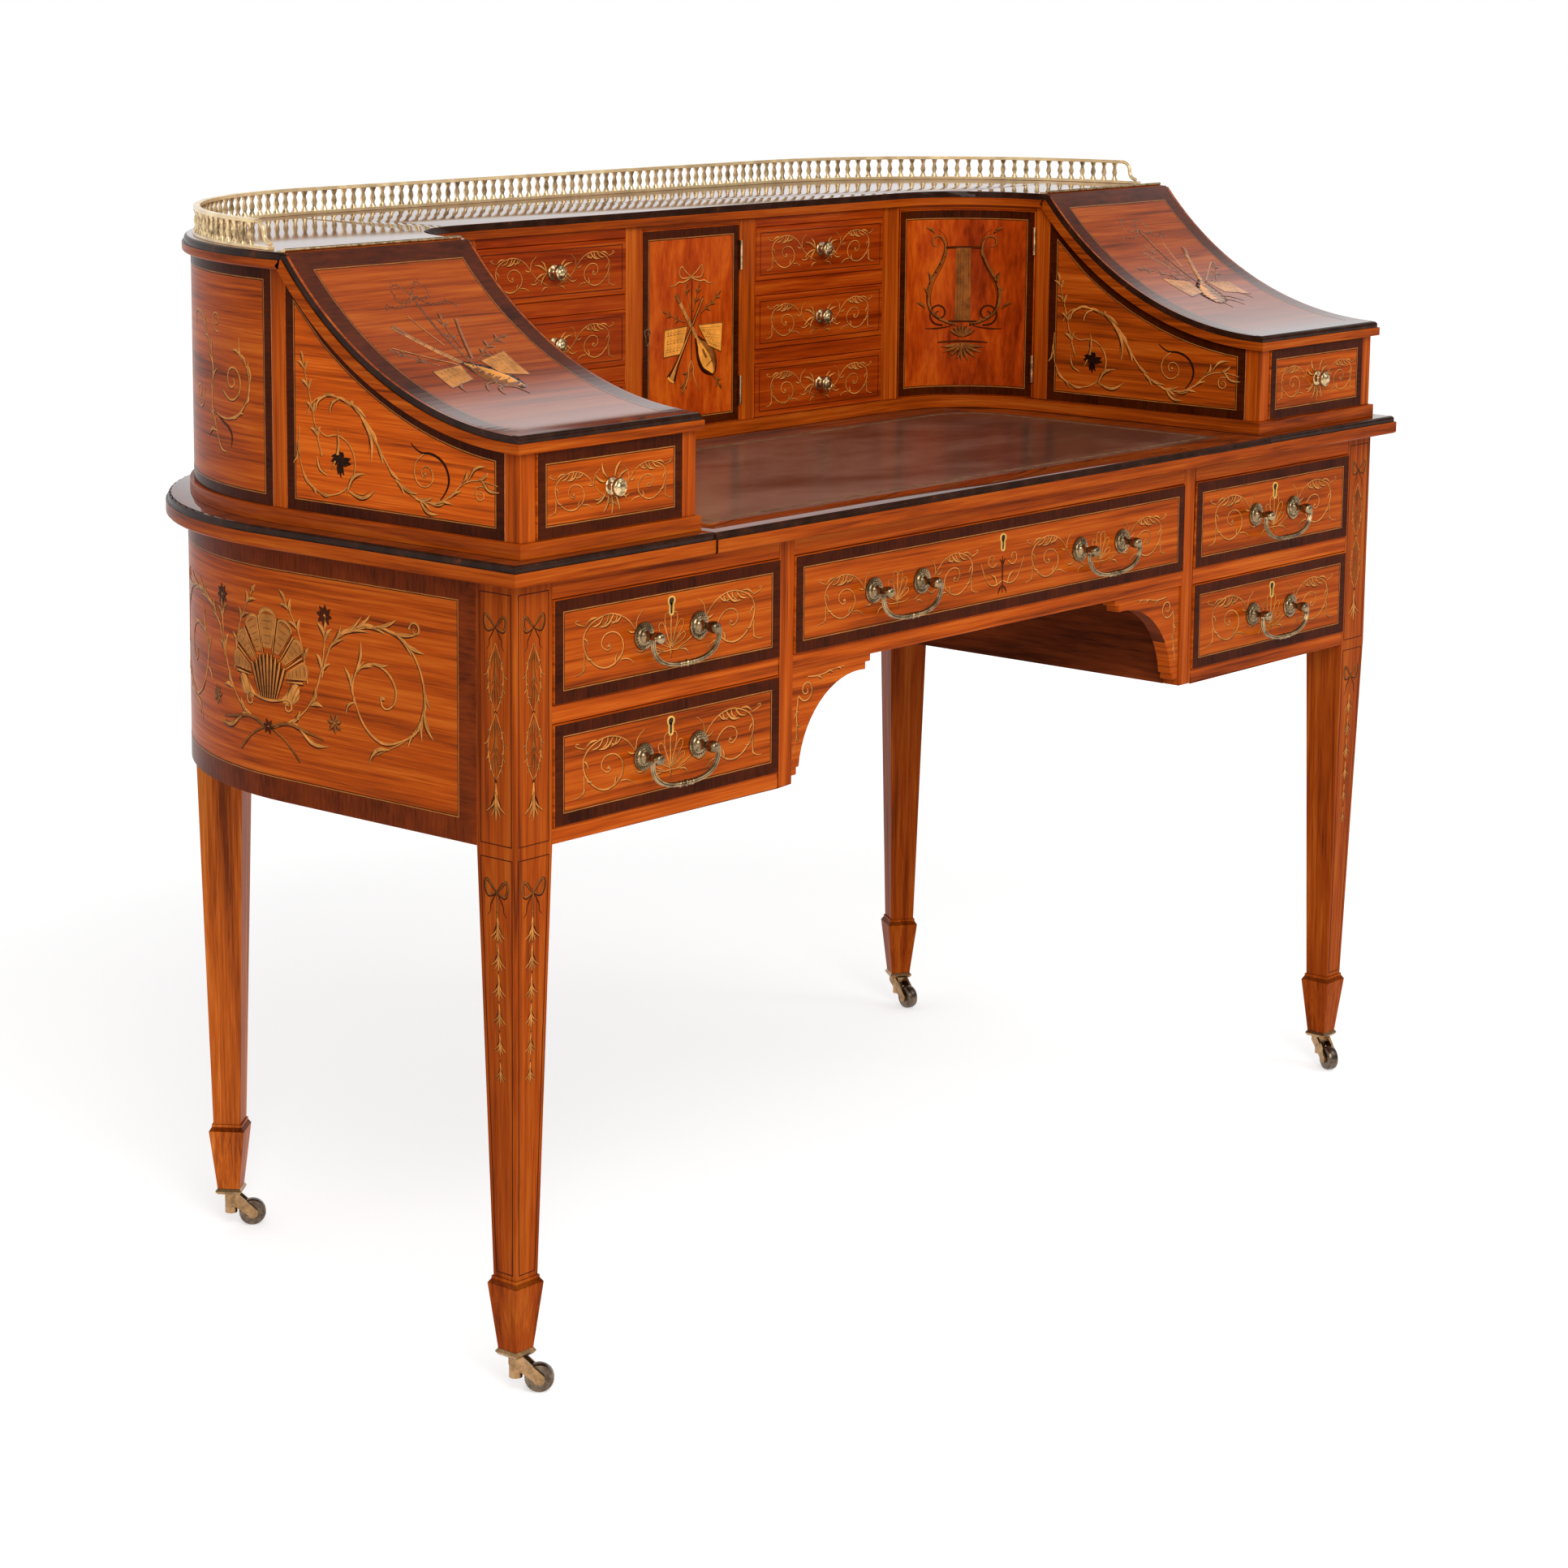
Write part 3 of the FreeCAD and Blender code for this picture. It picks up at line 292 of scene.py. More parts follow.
class Shade:
    """An output of a shader node; sums on it add Math nodes to the same material."""

    def __init__(self, tree, socket=None):
        self.tree = tree
        self.socket = socket

    def node(self, kind, settings=None, inputs=None, output=0):
        """Adds a node, with its settings first and then the values or links of its sockets."""
        made = self.tree.nodes.new(kind)
        for key, value in (settings or {}).items():
            if key == "stops":
                while len(made.color_ramp.elements) < len(value):
                    made.color_ramp.elements.new(0.5)
                for element, (place, tint) in zip(made.color_ramp.elements, value):
                    element.position = place
                    element.color = (*tint, 1.0)
            else:
                setattr(made, key, value)
        for key, value in (inputs or {}).items():
            if isinstance(value, Shade):
                self.tree.links.new(value.socket, made.inputs[key])
            else:
                made.inputs[key].default_value = value
        return Shade(self.tree, made.outputs[output])

    def sum(self, operation, first, second):
        return self.node("ShaderNodeMath", {"operation": operation}, {0: first, 1: second})

    def __add__(self, other):
        return self.sum("ADD", self, other)

    def __radd__(self, other):
        return self.sum("ADD", other, self)

    def __sub__(self, other):
        return self.sum("SUBTRACT", self, other)

    def __rsub__(self, other):
        return self.sum("SUBTRACT", other, self)

    def __mul__(self, other):
        return self.sum("MULTIPLY", self, other)

    def __rmul__(self, other):
        return self.sum("MULTIPLY", other, self)

    def stretched(self, run):
        """The same place with each axis multiplied, so that a pattern runs along the small ones."""
        return self.node("ShaderNodeVectorMath", {"operation": "MULTIPLY"}, {0: self, 1: run})

    def noise(self, detail=2.0, rough=0.5, warp=0.0):
        return self.node("ShaderNodeTexNoise", {}, {"Vector": self, "Scale": 1.0, "Detail": detail,
                                                    "Roughness": rough, "Distortion": warp})

    def along(self, way):
        return self.node("ShaderNodeVectorMath", {"operation": "DOT_PRODUCT"}, {0: self, 1: way}, "Value")

    def between(self, low, high):
        """Carries low..high to 0..1 and cuts off what lies outside."""
        return self.node("ShaderNodeMapRange", {"clamp": True}, {0: self, 1: low, 2: high})

    def ramp(self, stops):
        return self.node("ShaderNodeValToRGB", {"stops": stops}, {0: self})

    def blend(self, under, over):
        """The colour under where this is 0 and over where it is 1."""
        return self.node("ShaderNodeMix", {"data_type": "RGBA"}, {0: self, 6: under, 7: over}, 2)

    def feed(self, surface, socket):
        self.tree.links.new(self.socket, surface.inputs[socket])


def blank(name, sockets):
    """A new material with plain numbers on its surface, that surface and the place on the piece."""
    material = bpy.data.materials.new(name)
    material.use_nodes = True
    tree = material.node_tree
    surface = tree.nodes["Principled BSDF"]
    for socket, value in sockets.items():
        surface.inputs[socket].default_value = value
    place = Shade(tree).node("ShaderNodeTexCoord", output="Object")
    return material, surface, place


def grain_bump(surface, height, strength, distance):
    bump = height.node("ShaderNodeBump", {}, {"Strength": strength, "Distance": distance, "Height": height})
    bump.feed(surface, "Normal")


def figured_wood(name, tints, run, gloss, polish, darkening=None):
    """Polished wood of a pale, a middle and a dark tint.

    Its streaks run along the small values of run, per metre. It is darker at the lower of the two
    darkening heights than at the upper one.
    """
    pale, body, dark = tints
    material, surface, place = blank(name, polish)
    streaks = place.stretched(run).noise(4.0, 0.62, 0.6)
    clouds = place.stretched([0.25 * step + 2.5 for step in run]).noise(2.0, 0.5, 0.6)
    fibres = place.stretched([5.5 * step for step in run]).noise(2.0, 0.6)
    tone = streaks * 0.51 + clouds * 0.26 + fibres * 0.23
    between = [0.62 * b + 0.38 * d for b, d in zip(body, dark)]
    paint = tone.ramp([(0.37, dark), (0.45, between), (0.505, body), (0.62, pale)])
    if darkening:
        paint = (place.along((0, 0, 1)).between(*darkening) * 0.5 + 0.5).blend((*dark, 1), paint)
    paint.feed(surface, "Base Color")
    (fibres * 0.16 + (gloss - 0.08)).feed(surface, "Roughness")
    grain_bump(surface, fibres, 0.05, 0.0002)
    return material


def crossband(name, run, deep, polish):
    """Dark veneer with short pores along the small values of run, made darker by deep."""
    settings = woods()
    material, surface, place = blank(name, polish)
    pores = place.stretched(run).noise(3.0, 0.65, 0.2)
    patches = place.stretched((26, 26, 26)).noise(2.0, 0.5)
    tone = pores * 0.55 + patches * 0.45
    band = tinted(settings.band, deep)
    stops = [(0.36, tinted(settings.band_dark, deep)), (0.50, band), (0.66, tinted(band, 1.45))]
    tone.ramp(stops).feed(surface, "Base Color")
    (pores * 0.2 + 0.25).feed(surface, "Roughness")
    return material


def plain_inlay(name, tint, spread, polish):
    """Small pieces of inlay: one wood with a slight change of tone and scorched shading."""
    material, surface, place = blank(name, polish)
    tone = place.stretched((75, 75, 75)).noise(3.0, 0.6)
    stops = [(0.32, tinted(tint, spread)), (0.60, tint), (0.75, tinted(tint, 1.15))]
    tone.ramp(stops).feed(surface, "Base Color")
    (tone * 0.15 + 0.22).feed(surface, "Roughness")
    return material


def black_bead(name):
    """Blackened moulding, worn to the red of the wood in places."""
    settings = woods()
    material, surface, place = blank(name, {"Coat Weight": 0.45, "Coat Roughness": 0.08, "Coat IOR": 1.3,
                                            "Specular IOR Level": 0.0})
    wear = place.stretched((40, 40, 40)).noise(4.0, 0.7)
    stops = [(0.40, settings.bead), (0.62, tinted(settings.bead, 1.9)), (0.74, settings.top)]
    wear.ramp(stops).feed(surface, "Base Color")
    (wear * 0.22 + 0.12).feed(surface, "Roughness")
    return material


def tarnished(name, metal, dark, gloss, size, bare):
    """Brass with so many patches of tarnish per metre; bare is the share without lacquer."""
    material, surface, place = blank(name, {"Metallic": bare})
    patches = place.stretched((size, size, size)).noise(3.0, 0.65, 0.2)
    stops = [(0.34, dark), (0.56, metal), (0.72, [min(1.0, 1.25 * c) for c in metal])]
    patches.ramp(stops).feed(surface, "Base Color")
    (patches * -0.30 + (gloss + 0.15)).feed(surface, "Roughness")
    return material


def hide(name):
    """Polished leather with painted sheen: lighter to the left and darker to the right."""
    settings = bpy.context.scene.desk_leather
    material, surface, place = blank(name, {"Coat Weight": 0.9, "Coat Roughness": 0.24, "Coat IOR": 1.55,
                                            "Specular IOR Level": 0.0})
    # Random wear, with the tone falling from left to right: painted sheen on the left, painted shade on the
    # right.
    wear = place.stretched((5, 9, 5)).noise(4.0, 0.62, 0.3) - place.along((0.22, 0, 0))
    grain = place.stretched((900, 900, 900)).noise(2.0, 0.5)
    stops = [(0.36, settings.hide_worn_and_shaded), (0.55, settings.hide), (0.72, tinted(settings.hide, 1.5))]
    wear.ramp(stops).feed(surface, "Base Color")
    (wear * 0.18 + 0.24).feed(surface, "Roughness")
    grain_bump(surface, grain, 0.18, 0.0003)
    return material


def finish(name):
    """The named finish, made when it is first asked for; lid_ before its name gives the lids' polish."""
    if name in bpy.data.materials:
        return bpy.data.materials[name]
    kind = name.removeprefix("lid_")
    polish = SATIN_POLISH if kind == name else LID_POLISH
    deep = 0.36 if kind == name else 0.55
    wood = woods()
    brass = bpy.context.scene.desk_brass
    leather = bpy.context.scene.desk_leather
    satin = (wood.satin_pale, wood.satin, wood.satin_dark)
    red = (wood.red_pale, wood.red, wood.red_dark)
    # A paler, greyer copy of the satinwood for the back left leg: painted sheen.
    sheen_painted_satin = [(1.22 * r, 1.62 * g, 3.6 * b) for r, g, b in satin]
    top = (tinted(wood.top, 1.6), wood.top, wood.top_dark)
    lining = (tinted(wood.lining, 1.25), wood.lining, tinted(wood.lining, 0.55))
    # tints, their strength, run of the streaks per metre, gloss and polish
    figured = {
        "satin": (satin, 0.82, (3.5, 130, 130), 0.24, polish),
        "satin_level": (satin, 1.0, (3.2, 3.2, 150), 0.30, polish),
        "satin_upright": (satin, 0.95, (130, 130, 3), 0.32, polish),
        "drawer_wood": (satin, 0.92, (3.2, 3.2, 150), 0.30, polish),
        # The end blocks' wood is the satinwood lightened 1.32 times: painted light from above and the left.
        "block_wood": (satin, 1.32, (3.2, 3.2, 165), 0.30, polish),
        "edge_wood": (satin, 0.80, (4, 4, 130), 0.30, polish),
        "leg_wood": (satin, 0.77, (130, 130, 3), 0.34, polish),
        "pale_leg": (sheen_painted_satin, 1.0, (130, 130, 3), 0.34, polish),
        "foot_wood": (satin, 0.36, (130, 130, 3), 0.30, polish),
        "red_level": (red, 0.76, (4, 4, 130), 0.30, polish),
        "red_upright": (red, 1.0, (42, 42, 11), 0.26, polish),
        "polished_top": (top, 1.0, (4, 60, 60), 0.16, TOP_POLISH),
        "inner_wood": (top, 1.0, (5, 5, 60), 0.42, {"Specular IOR Level": 0.02}),
        "lining": (lining, 1.0, (60, 60, 6), 0.55, {"Specular IOR Level": 0.1}),
    }
    # run of the pores per metre and strength of the tint
    banded = {
        "band_upright": ((330, 330, 45), 1.0),
        "band_level": ((45, 45, 330), 1.0),
        "deep_upright": ((330, 330, 45), deep),
        "deep_level": ((45, 45, 330), deep),
        "deep_sideways": ((45, 330, 330), deep),
    }
    # tint and how dark its scorched parts are
    inlaid = {
        "boxwood": (wood.boxwood, 0.55),
        "tan": (wood.tan, 0.5),
        "line": (wood.line, 0.7),
        "umber": (wood.umber, 0.6),
        "ebony": (wood.ebony, 0.6),
        "page": (wood.page, 0.7),
        "gilt": (leather.gilt, 0.7),
        "tooling": (leather.tooling, 0.45),
    }
    # tint, its strength, tarnish, its strength, gloss, patches per metre and share without lacquer
    metals = {
        "aged_brass": (brass.aged, 1.0, brass.aged_dark, 1.0, 0.27, 75, 1.0),
        "bright_brass": (brass.bright, 1.0, brass.bright_dark, 1.0, 0.26, 160, 1.0),
        # The gallery rails take the bright brass lightened 1.3 times with light tarnish: painted light from
        # the front.
        "rail_brass": (brass.bright, 1.3, brass.bright, 1.0, 0.20, 40, 0.45),
        "dull_brass": (brass.bright, 1.15, brass.bright_dark, 1.0, 0.26, 120, 0.7),
        "caster_brass": (brass.caster, 1.0, brass.caster, 0.6, 0.29, 130, 1.0),
        "wheel_brass": (brass.wheel, 1.0, brass.wheel, 0.5, 0.32, 130, 1.0),
    }
    if kind in figured:
        tints, share, run, gloss, varnish = figured[kind]
        darkening = LID_DARKENING if kind == "satin" else None
        return figured_wood(name, [tinted(tint, share) for tint in tints], run, gloss, varnish, darkening)
    if kind in banded:
        return crossband(name, *banded[kind], polish)
    if kind in inlaid:
        return plain_inlay(name, *inlaid[kind], polish)
    if kind in metals:
        metal, share, dark, dim, gloss, size, bare = metals[kind]
        return tarnished(name, tinted(metal, share), tinted(dark, dim), gloss, size, bare)
    return {"bead": black_bead, "hide": hide}[kind](name)


def spot(x, y, z):
    """A place in the frame from millimetres off the floor and the front of the carcass."""
    return Vector((x, y + FRONT, z)) / 1000


# Faces of the desk: each gives a function from (u, v, height) on it, in millimetres, to a place.


def front_face(y, x=0.0, z=0.0):
    """A flat face towards the sitter."""
    return lambda u, v, w: spot(x + u, y - w, z + v)


def back_face(y):
    """A flat face away from the sitter."""
    return lambda u, v, w: spot(u, y + w, v)


def top_face(z):
    """A flat face that looks up; u runs to the right and v back."""
    return lambda u, v, w: spot(u, v, z + w)


def bay_side(side):
    """The face of an end block towards the writing board; u runs back along it."""
    return lambda u, v, w: spot(side * (BAY_HALF - w), u, v)


def bowed_side(side, half, radius):
    """An outer side that turns into a bow at the back; u runs back along it."""
    def at(u, v, w):
        turn = max(0.0, u - CORNER_Y) / radius
        reach = radius + w
        x = half - radius + reach * math.cos(turn)
        return spot(side * x, min(u, CORNER_Y) + reach * math.sin(turn), v)
    return at


def lower_side(side):
    return bowed_side(side, CARCASS_HALF, CARCASS_CORNER)


def stage_side(side):
    return bowed_side(side, STAGE_HALF, STAGE_CORNER)


def hollow_face(side):
    """The hollow face of a corner door; u runs from the block to the back wall."""
    def at(u, v, w):
        turn = u / HOLLOW_RADIUS
        reach = HOLLOW_RADIUS - w
        x = BAY_HALF - HOLLOW_RADIUS + reach * math.cos(turn)
        y = BAY_WALL - HOLLOW_RADIUS + reach * math.sin(turn)
        return spot(side * x, y, v)
    return at


def lid_face(side):
    """The hollow top of a lid; u runs out from the middle of the desk and v up the sweep."""
    def at(u, v, w):
        if v > LID_SWEEP:
            return spot(side * u, LID_LAND + v - LID_SWEEP, STAGE_TOP + w)
        turn = v / LID_RADIUS
        reach = LID_RADIUS - w
        return spot(side * u, LID_FRONT + reach * math.sin(turn), LID_CENTRE - reach * math.cos(turn))
    return at


def leg_face(side, outer):
    """The front or the outer face of a front leg; u is 0 on its middle line."""
    def at(u, v, w):
        reach = leg_half(v) + w
        if outer:
            return spot(side * (LEG_MIDDLE + reach), LEG_FRONT + u, v)
        return spot(side * LEG_MIDDLE + u, LEG_FRONT - reach, v)
    return at


def leg_half(z):
    """Half the width of a leg at a height."""
    taper = min(1.0, max(0.0, (CARCASS_BOTTOM - z) / (CARCASS_BOTTOM - ANKLE)))
    return LEG_HALF + (ANKLE_HALF - LEG_HALF) * taper


def add_piece(name, bm, finishes, body, smooth=None, node=None):
    """Makes the mesh a piece that rides on a body, in place of a CAD node if one is named.

    smooth is the angle in degrees past which an edge stays sharp.
    """
    mesh = bpy.data.meshes.new(name)
    if smooth is not None:
        for face in bm.faces:
            face.smooth = True
    bm.to_mesh(mesh)
    bm.free()
    if smooth is not None:
        mesh.set_sharp_from_angle(angle=math.radians(smooth))
    for entry in finishes:
        mesh.materials.append(finish(entry))
    piece = bpy.data.objects.new(name, mesh)
    bpy.context.scene.collection.objects.link(piece)
    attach(piece, body)
    if node:
        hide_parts(node)
    return piece


def welded(node):
    """A bmesh of a CAD node with its triangles joined."""
    bm = bmesh.new()
    bm.from_mesh(frame["nodes"][node].data)
    bmesh.ops.remove_doubles(bm, verts=bm.verts[:], dist=WELD)
    return bm


def softened(node, finishes, pick=None, edge=None):
    """A copy of a CAD node with edges eased by so many millimetres, or by the desk's own width.

    pick names each face's finish from its middle and direction; without it, all have the first one.
    """
    bm = welded(node)
    bmesh.ops.dissolve_limit(bm, angle_limit=math.radians(0.6), verts=bm.verts[:], edges=bm.edges[:])
    for face in bm.faces:
        middle = face.calc_center_median() * 1000
        middle.y -= FRONT
        face.material_index = finishes.index(pick(middle, face.normal)) if pick else 0
    body = body_of(frame["nodes"][node])[0]
    piece = add_piece(node + "_finished", bm, finishes, body, 32, node)
    if edge != 0:
        ease = piece.modifiers.new("eased_edges", "BEVEL")
        ease.width = woods().edge if edge is None else edge / 1000
        ease.segments = 2
        ease.profile = 0.5
        ease.limit_method = "ANGLE"
        ease.angle_limit = math.radians(40)
        ease.material = -1
        ease.harden_normals = True


def spun(profile, steps):
    """A turned shape round the z axis from (radius, height) pairs, in millimetres."""
    bm = bmesh.new()
    line = [bm.verts.new((r, 0, h)) for r, h in profile]
    edges = [bm.edges.new(pair) for pair in zip(line, line[1:])]
    bmesh.ops.spin(bm, geom=line + edges, cent=(0, 0, 0), axis=(0, 0, 1), angle=2 * math.pi, steps=steps,
                   use_merge=True)
    bmesh.ops.remove_doubles(bm, verts=bm.verts[:], dist=TRIM_WELD)
    bmesh.ops.recalc_face_normals(bm, faces=bm.faces[:])
    return bm


def islands(node):
    """Low and high corners of each separate solid of a CAD node."""
    bm = welded(node)
    left = set(bm.verts)
    boxes = []
    while left:
        queue = [left.pop()]
        island = []
        while queue:
            vert = queue.pop()
            island.append(vert.co)
            near = {edge.other_vert(vert) for edge in vert.link_edges} & left
            left -= near
            queue += near
        low, high = [Vector(end(co[axis] for co in island) for axis in range(3)) for end in (min, max)]
        boxes.append((low, high))
    bm.free()
    return boxes


def joined(parts):
    """One bmesh from several, each freed."""
    whole = bmesh.new()
    for part in parts:
        mesh = bpy.data.meshes.new("part")
        part.to_mesh(mesh)
        part.free()
        whole.from_mesh(mesh)
        bpy.data.meshes.remove(mesh)
    return whole


def set_forward(bm, x, y, z):
    """Turns a shape made along z to stand out towards the sitter from a place in millimetres."""
    turn = Matrix.Rotation(math.radians(90), 4, "X")
    place = Matrix.Translation(spot(x, y, z)) @ turn @ Matrix.Scale(0.001, 4)
    bmesh.ops.transform(bm, matrix=place, verts=bm.verts[:])


def new_curve(name, resolution):
    """An empty curve whose paths are rods as thick as their points' radii."""
    line = bpy.data.curves.new(name, "CURVE")
    line.dimensions = "3D"
    line.bevel_depth = 1.0
    line.bevel_resolution = 1
    line.use_fill_caps = True
    line.resolution_u = resolution
    return line


def tube(points, radii, resolution):
    """A smooth rod of changing thickness through points in millimetres, closed at its ends."""
    line = new_curve("rod", resolution)
    add_spline(line, points, radii)
    bm = bmesh.new()
    take_curve(bm, line)
    return bm


def add_spline(line, points, radii, step=None):
    """Adds a smooth path to a curve; step is the length of its straight bits, if not the curve's own."""
    spline = line.splines.new("NURBS")
    spline.points.add(len(points) - 1)
    for point, place, radius in zip(spline.points, points, radii):
        point.co = (*place, 1.0)
        point.radius = radius
    spline.order_u = 3
    spline.use_endpoint_u = True
    if step:
        reach = sum(math.dist(a, b) for a, b in zip(points, points[1:]))
        spline.resolution_u = max(2, min(12, round(reach / step / max(1, len(points) - 2))))


def take_curve(bm, line):
    """Adds a curve's mesh to bm, merged, and removes the curve; gives the new faces."""
    carrier = bpy.data.objects.new("carrier", line)
    bpy.context.scene.collection.objects.link(carrier)
    solved = carrier.evaluated_get(bpy.context.evaluated_depsgraph_get())
    mesh = bpy.data.meshes.new_from_object(solved)
    before = set(bm.faces)
    bm.from_mesh(mesh)
    bpy.data.objects.remove(carrier)
    bpy.data.curves.remove(line)
    bpy.data.meshes.remove(mesh)
    fresh = [face for face in bm.faces if face not in before]
    corners = list({vert for face in fresh for vert in face.verts})
    bmesh.ops.remove_doubles(bm, verts=corners, dist=TRIM_WELD)
    return [face for face in fresh if face.is_valid]


def oblong(us, vs, across=0.0, up=0.0):
    """Corners of a rectangle, anticlockwise, drawn in at its ends and at its foot and head."""
    u0, u1 = us[0] + across, us[1] - across
    v0, v1 = vs[0] + up, vs[1] - up
    return [(u0, v0), (u1, v0), (u1, v1), (u0, v1)]


def place_on(bm, face):
    """Carries a flat sheet of (u, v, height) in millimetres onto a face of the desk."""
    for vert in bm.verts:
        vert.co = face(*vert.co)
    bmesh.ops.recalc_face_normals(bm, faces=bm.faces[:])


def thicken(bm, faces, top, bottom=-0.25):
    """Extrudes flat cells into a closed slab between two heights."""
    for vert in {vert for face in faces for vert in face.verts}:
        vert.co.z = bottom
    made = bmesh.ops.extrude_face_region(bm, geom=faces)["geom"]
    for item in made:
        if isinstance(item, bmesh.types.BMVert):
            item.co.z = top


def banding(name, face, outline, rings, body, bend=None):
    """Mitred bands inside an outline; rings gives each one's width and its wood, or None for a gap.

    A pair of woods is for strips that run along u and along v. bend gives the axis along which the
    face is curved and the step at which the bands are cut across it.
    """
    bm = bmesh.new()
    middle = bm.faces.new([bm.verts.new((u, v, 0)) for u, v in outline])
    bm.normal_update()
    finishes = []
    gone = [middle]
    for width, wood in rings:
        made = bmesh.ops.inset_region(bm, faces=[middle], thickness=width, use_even_offset=True,
                                      use_boundary=True)["faces"]
        if wood is None:
            gone += made
            continue
        for strip in made:
            kind = wood if isinstance(wood, str) else wood[runs_up(strip)]
            if kind not in finishes:
                finishes.append(kind)
            strip.material_index = finishes.index(kind)
    bmesh.ops.delete(bm, geom=gone, context="FACES")
    if bend:
        cut_across(bm, *bend)
    thicken(bm, bm.faces[:], inlays().lift * 1000)
    place_on(bm, face)
    add_piece(name, bm, finishes, body)


def runs_up(strip):
    """True for a strip that is longer along v than along u."""
    us = [vert.co.x for vert in strip.verts]
    vs = [vert.co.y for vert in strip.verts]
    return max(vs) - min(vs) > max(us) - min(us)


def cut_across(bm, axis, step):
    """Cuts a flat sheet into strips along one axis, so that it can follow a curve."""
    reach = [vert.co[axis] for vert in bm.verts]
    across = Vector((0, 0, 0))
    across[axis] = 1.0
    for i in range(1, int((max(reach) - min(reach)) / step) + 1):
        whole = bm.verts[:] + bm.edges[:] + bm.faces[:]
        bmesh.ops.bisect_plane(bm, geom=whole, dist=TRIM_WELD, plane_co=across * (min(reach) + step * i),
                               plane_no=across)


def edged(width, wood=("band_upright", "band_level"), polish=""):
    """A dark band with a light and a dark line on its inner side."""
    string = inlays().string * 1000
    return [(width * 1000, wood), (string, polish + "line"), (string, polish + "umber")]


def spread(values, count):
    """Values carried evenly over count places."""
    if count == 1:
        return [values[0]]
    out = []
    for i in range(count):
        t = i * (len(values) - 1) / (count - 1)
        k = min(int(t), len(values) - 2) if len(values) > 1 else 0
        follow = values[min(k + 1, len(values) - 1)]
        out.append(values[k] + (follow - values[k]) * (t - k))
    return out


class Pen:
    """Draws cut wood on a flat sheet in millimetres; pens made from it share its sheet."""

    def __init__(self, sheet, matrix=None):
        self.sheet = sheet
        self.matrix = matrix or Matrix.Identity(4)

    def moved(self, x, y, turn=0.0, size=1.0, flip=False):
        step = Matrix.Translation((x, y, 0)) @ Matrix.Rotation(math.radians(turn), 4, "Z")
        step = step @ Matrix.Diagonal((-size if flip else size, size, 1, 1))
        return Pen(self.sheet, self.matrix @ step)

    def halves(self):
        """The mirror image of this pen and the pen itself."""
        return [self.moved(0, 0, flip=True), self]

    def placed(self, points):
        return [self.matrix @ Vector((x, y, 0)) for x, y in points]

    def stroke(self, points, widths, wood="boxwood"):
        """A line whose half widths go through the given ones, with a dark edge below pale woods."""
        weight = inlays().weight * self.matrix.col[1].length
        halves = [weight * half for half in spread(widths, len(points))]
        placed = self.placed(points)
        if wood != "umber":
            shade = [point + Vector(SCORCH_SHIFT) for point in placed]
            self.sheet.append(("umber", shade, [half + SCORCH_GROWTH for half in halves]))
        self.sheet.append((wood, placed, halves))

    def shape(self, points, widths, wood="boxwood"):
        """A broad piece drawn like a stroke, at its true width and without an edge."""
        size = self.matrix.col[1].length
        halves = [size * half for half in spread(widths, len(points))]
        self.sheet.append((wood, self.placed(points), halves))

    def leaf(self, foot, tip, bend, width, wood="boxwood"):
        """A pointed leaf, bent to its left by a share of its length."""
        along = (tip[0] - foot[0], tip[1] - foot[1])
        points = []
        for t in (0.0, 0.3, 0.55, 0.8, 1.0):
            side = 4 * bend * t * (1 - t)
            points.append((foot[0] + along[0] * t - along[1] * side,
                           foot[1] + along[1] * t + along[0] * side))
        self.stroke(points, (0.25 * width, 0.9 * width, width, 0.55 * width, 0.08 * width), wood)

    def spiral(self, radius, small, start, sweep, widths, wood="boxwood"):
        """A coil from a radius in to a small one, through sweep degrees."""
        count = max(4, round(abs(sweep) / 32))
        points = []
        for i in range(count + 1):
            t = i / count
            r = radius + (small - radius) * t ** 0.85
            a = math.radians(start + sweep * t)
            points.append((r * math.cos(a), r * math.sin(a)))
        self.stroke(points, widths, wood)

    def dot(self, x, y, radius, wood="boxwood"):
        self.stroke([(x - 0.7 * radius, y), (x, y), (x + 0.7 * radius, y)],
                    (0.5 * radius, radius, 0.5 * radius), wood)

    def patch(self, corners, wood):
        """A four-cornered piece."""
        self.sheet.append((wood, self.placed(corners), None))


def on_circle(radius, degrees):
    return (radius * math.cos(math.radians(degrees)), radius * math.sin(math.radians(degrees)))


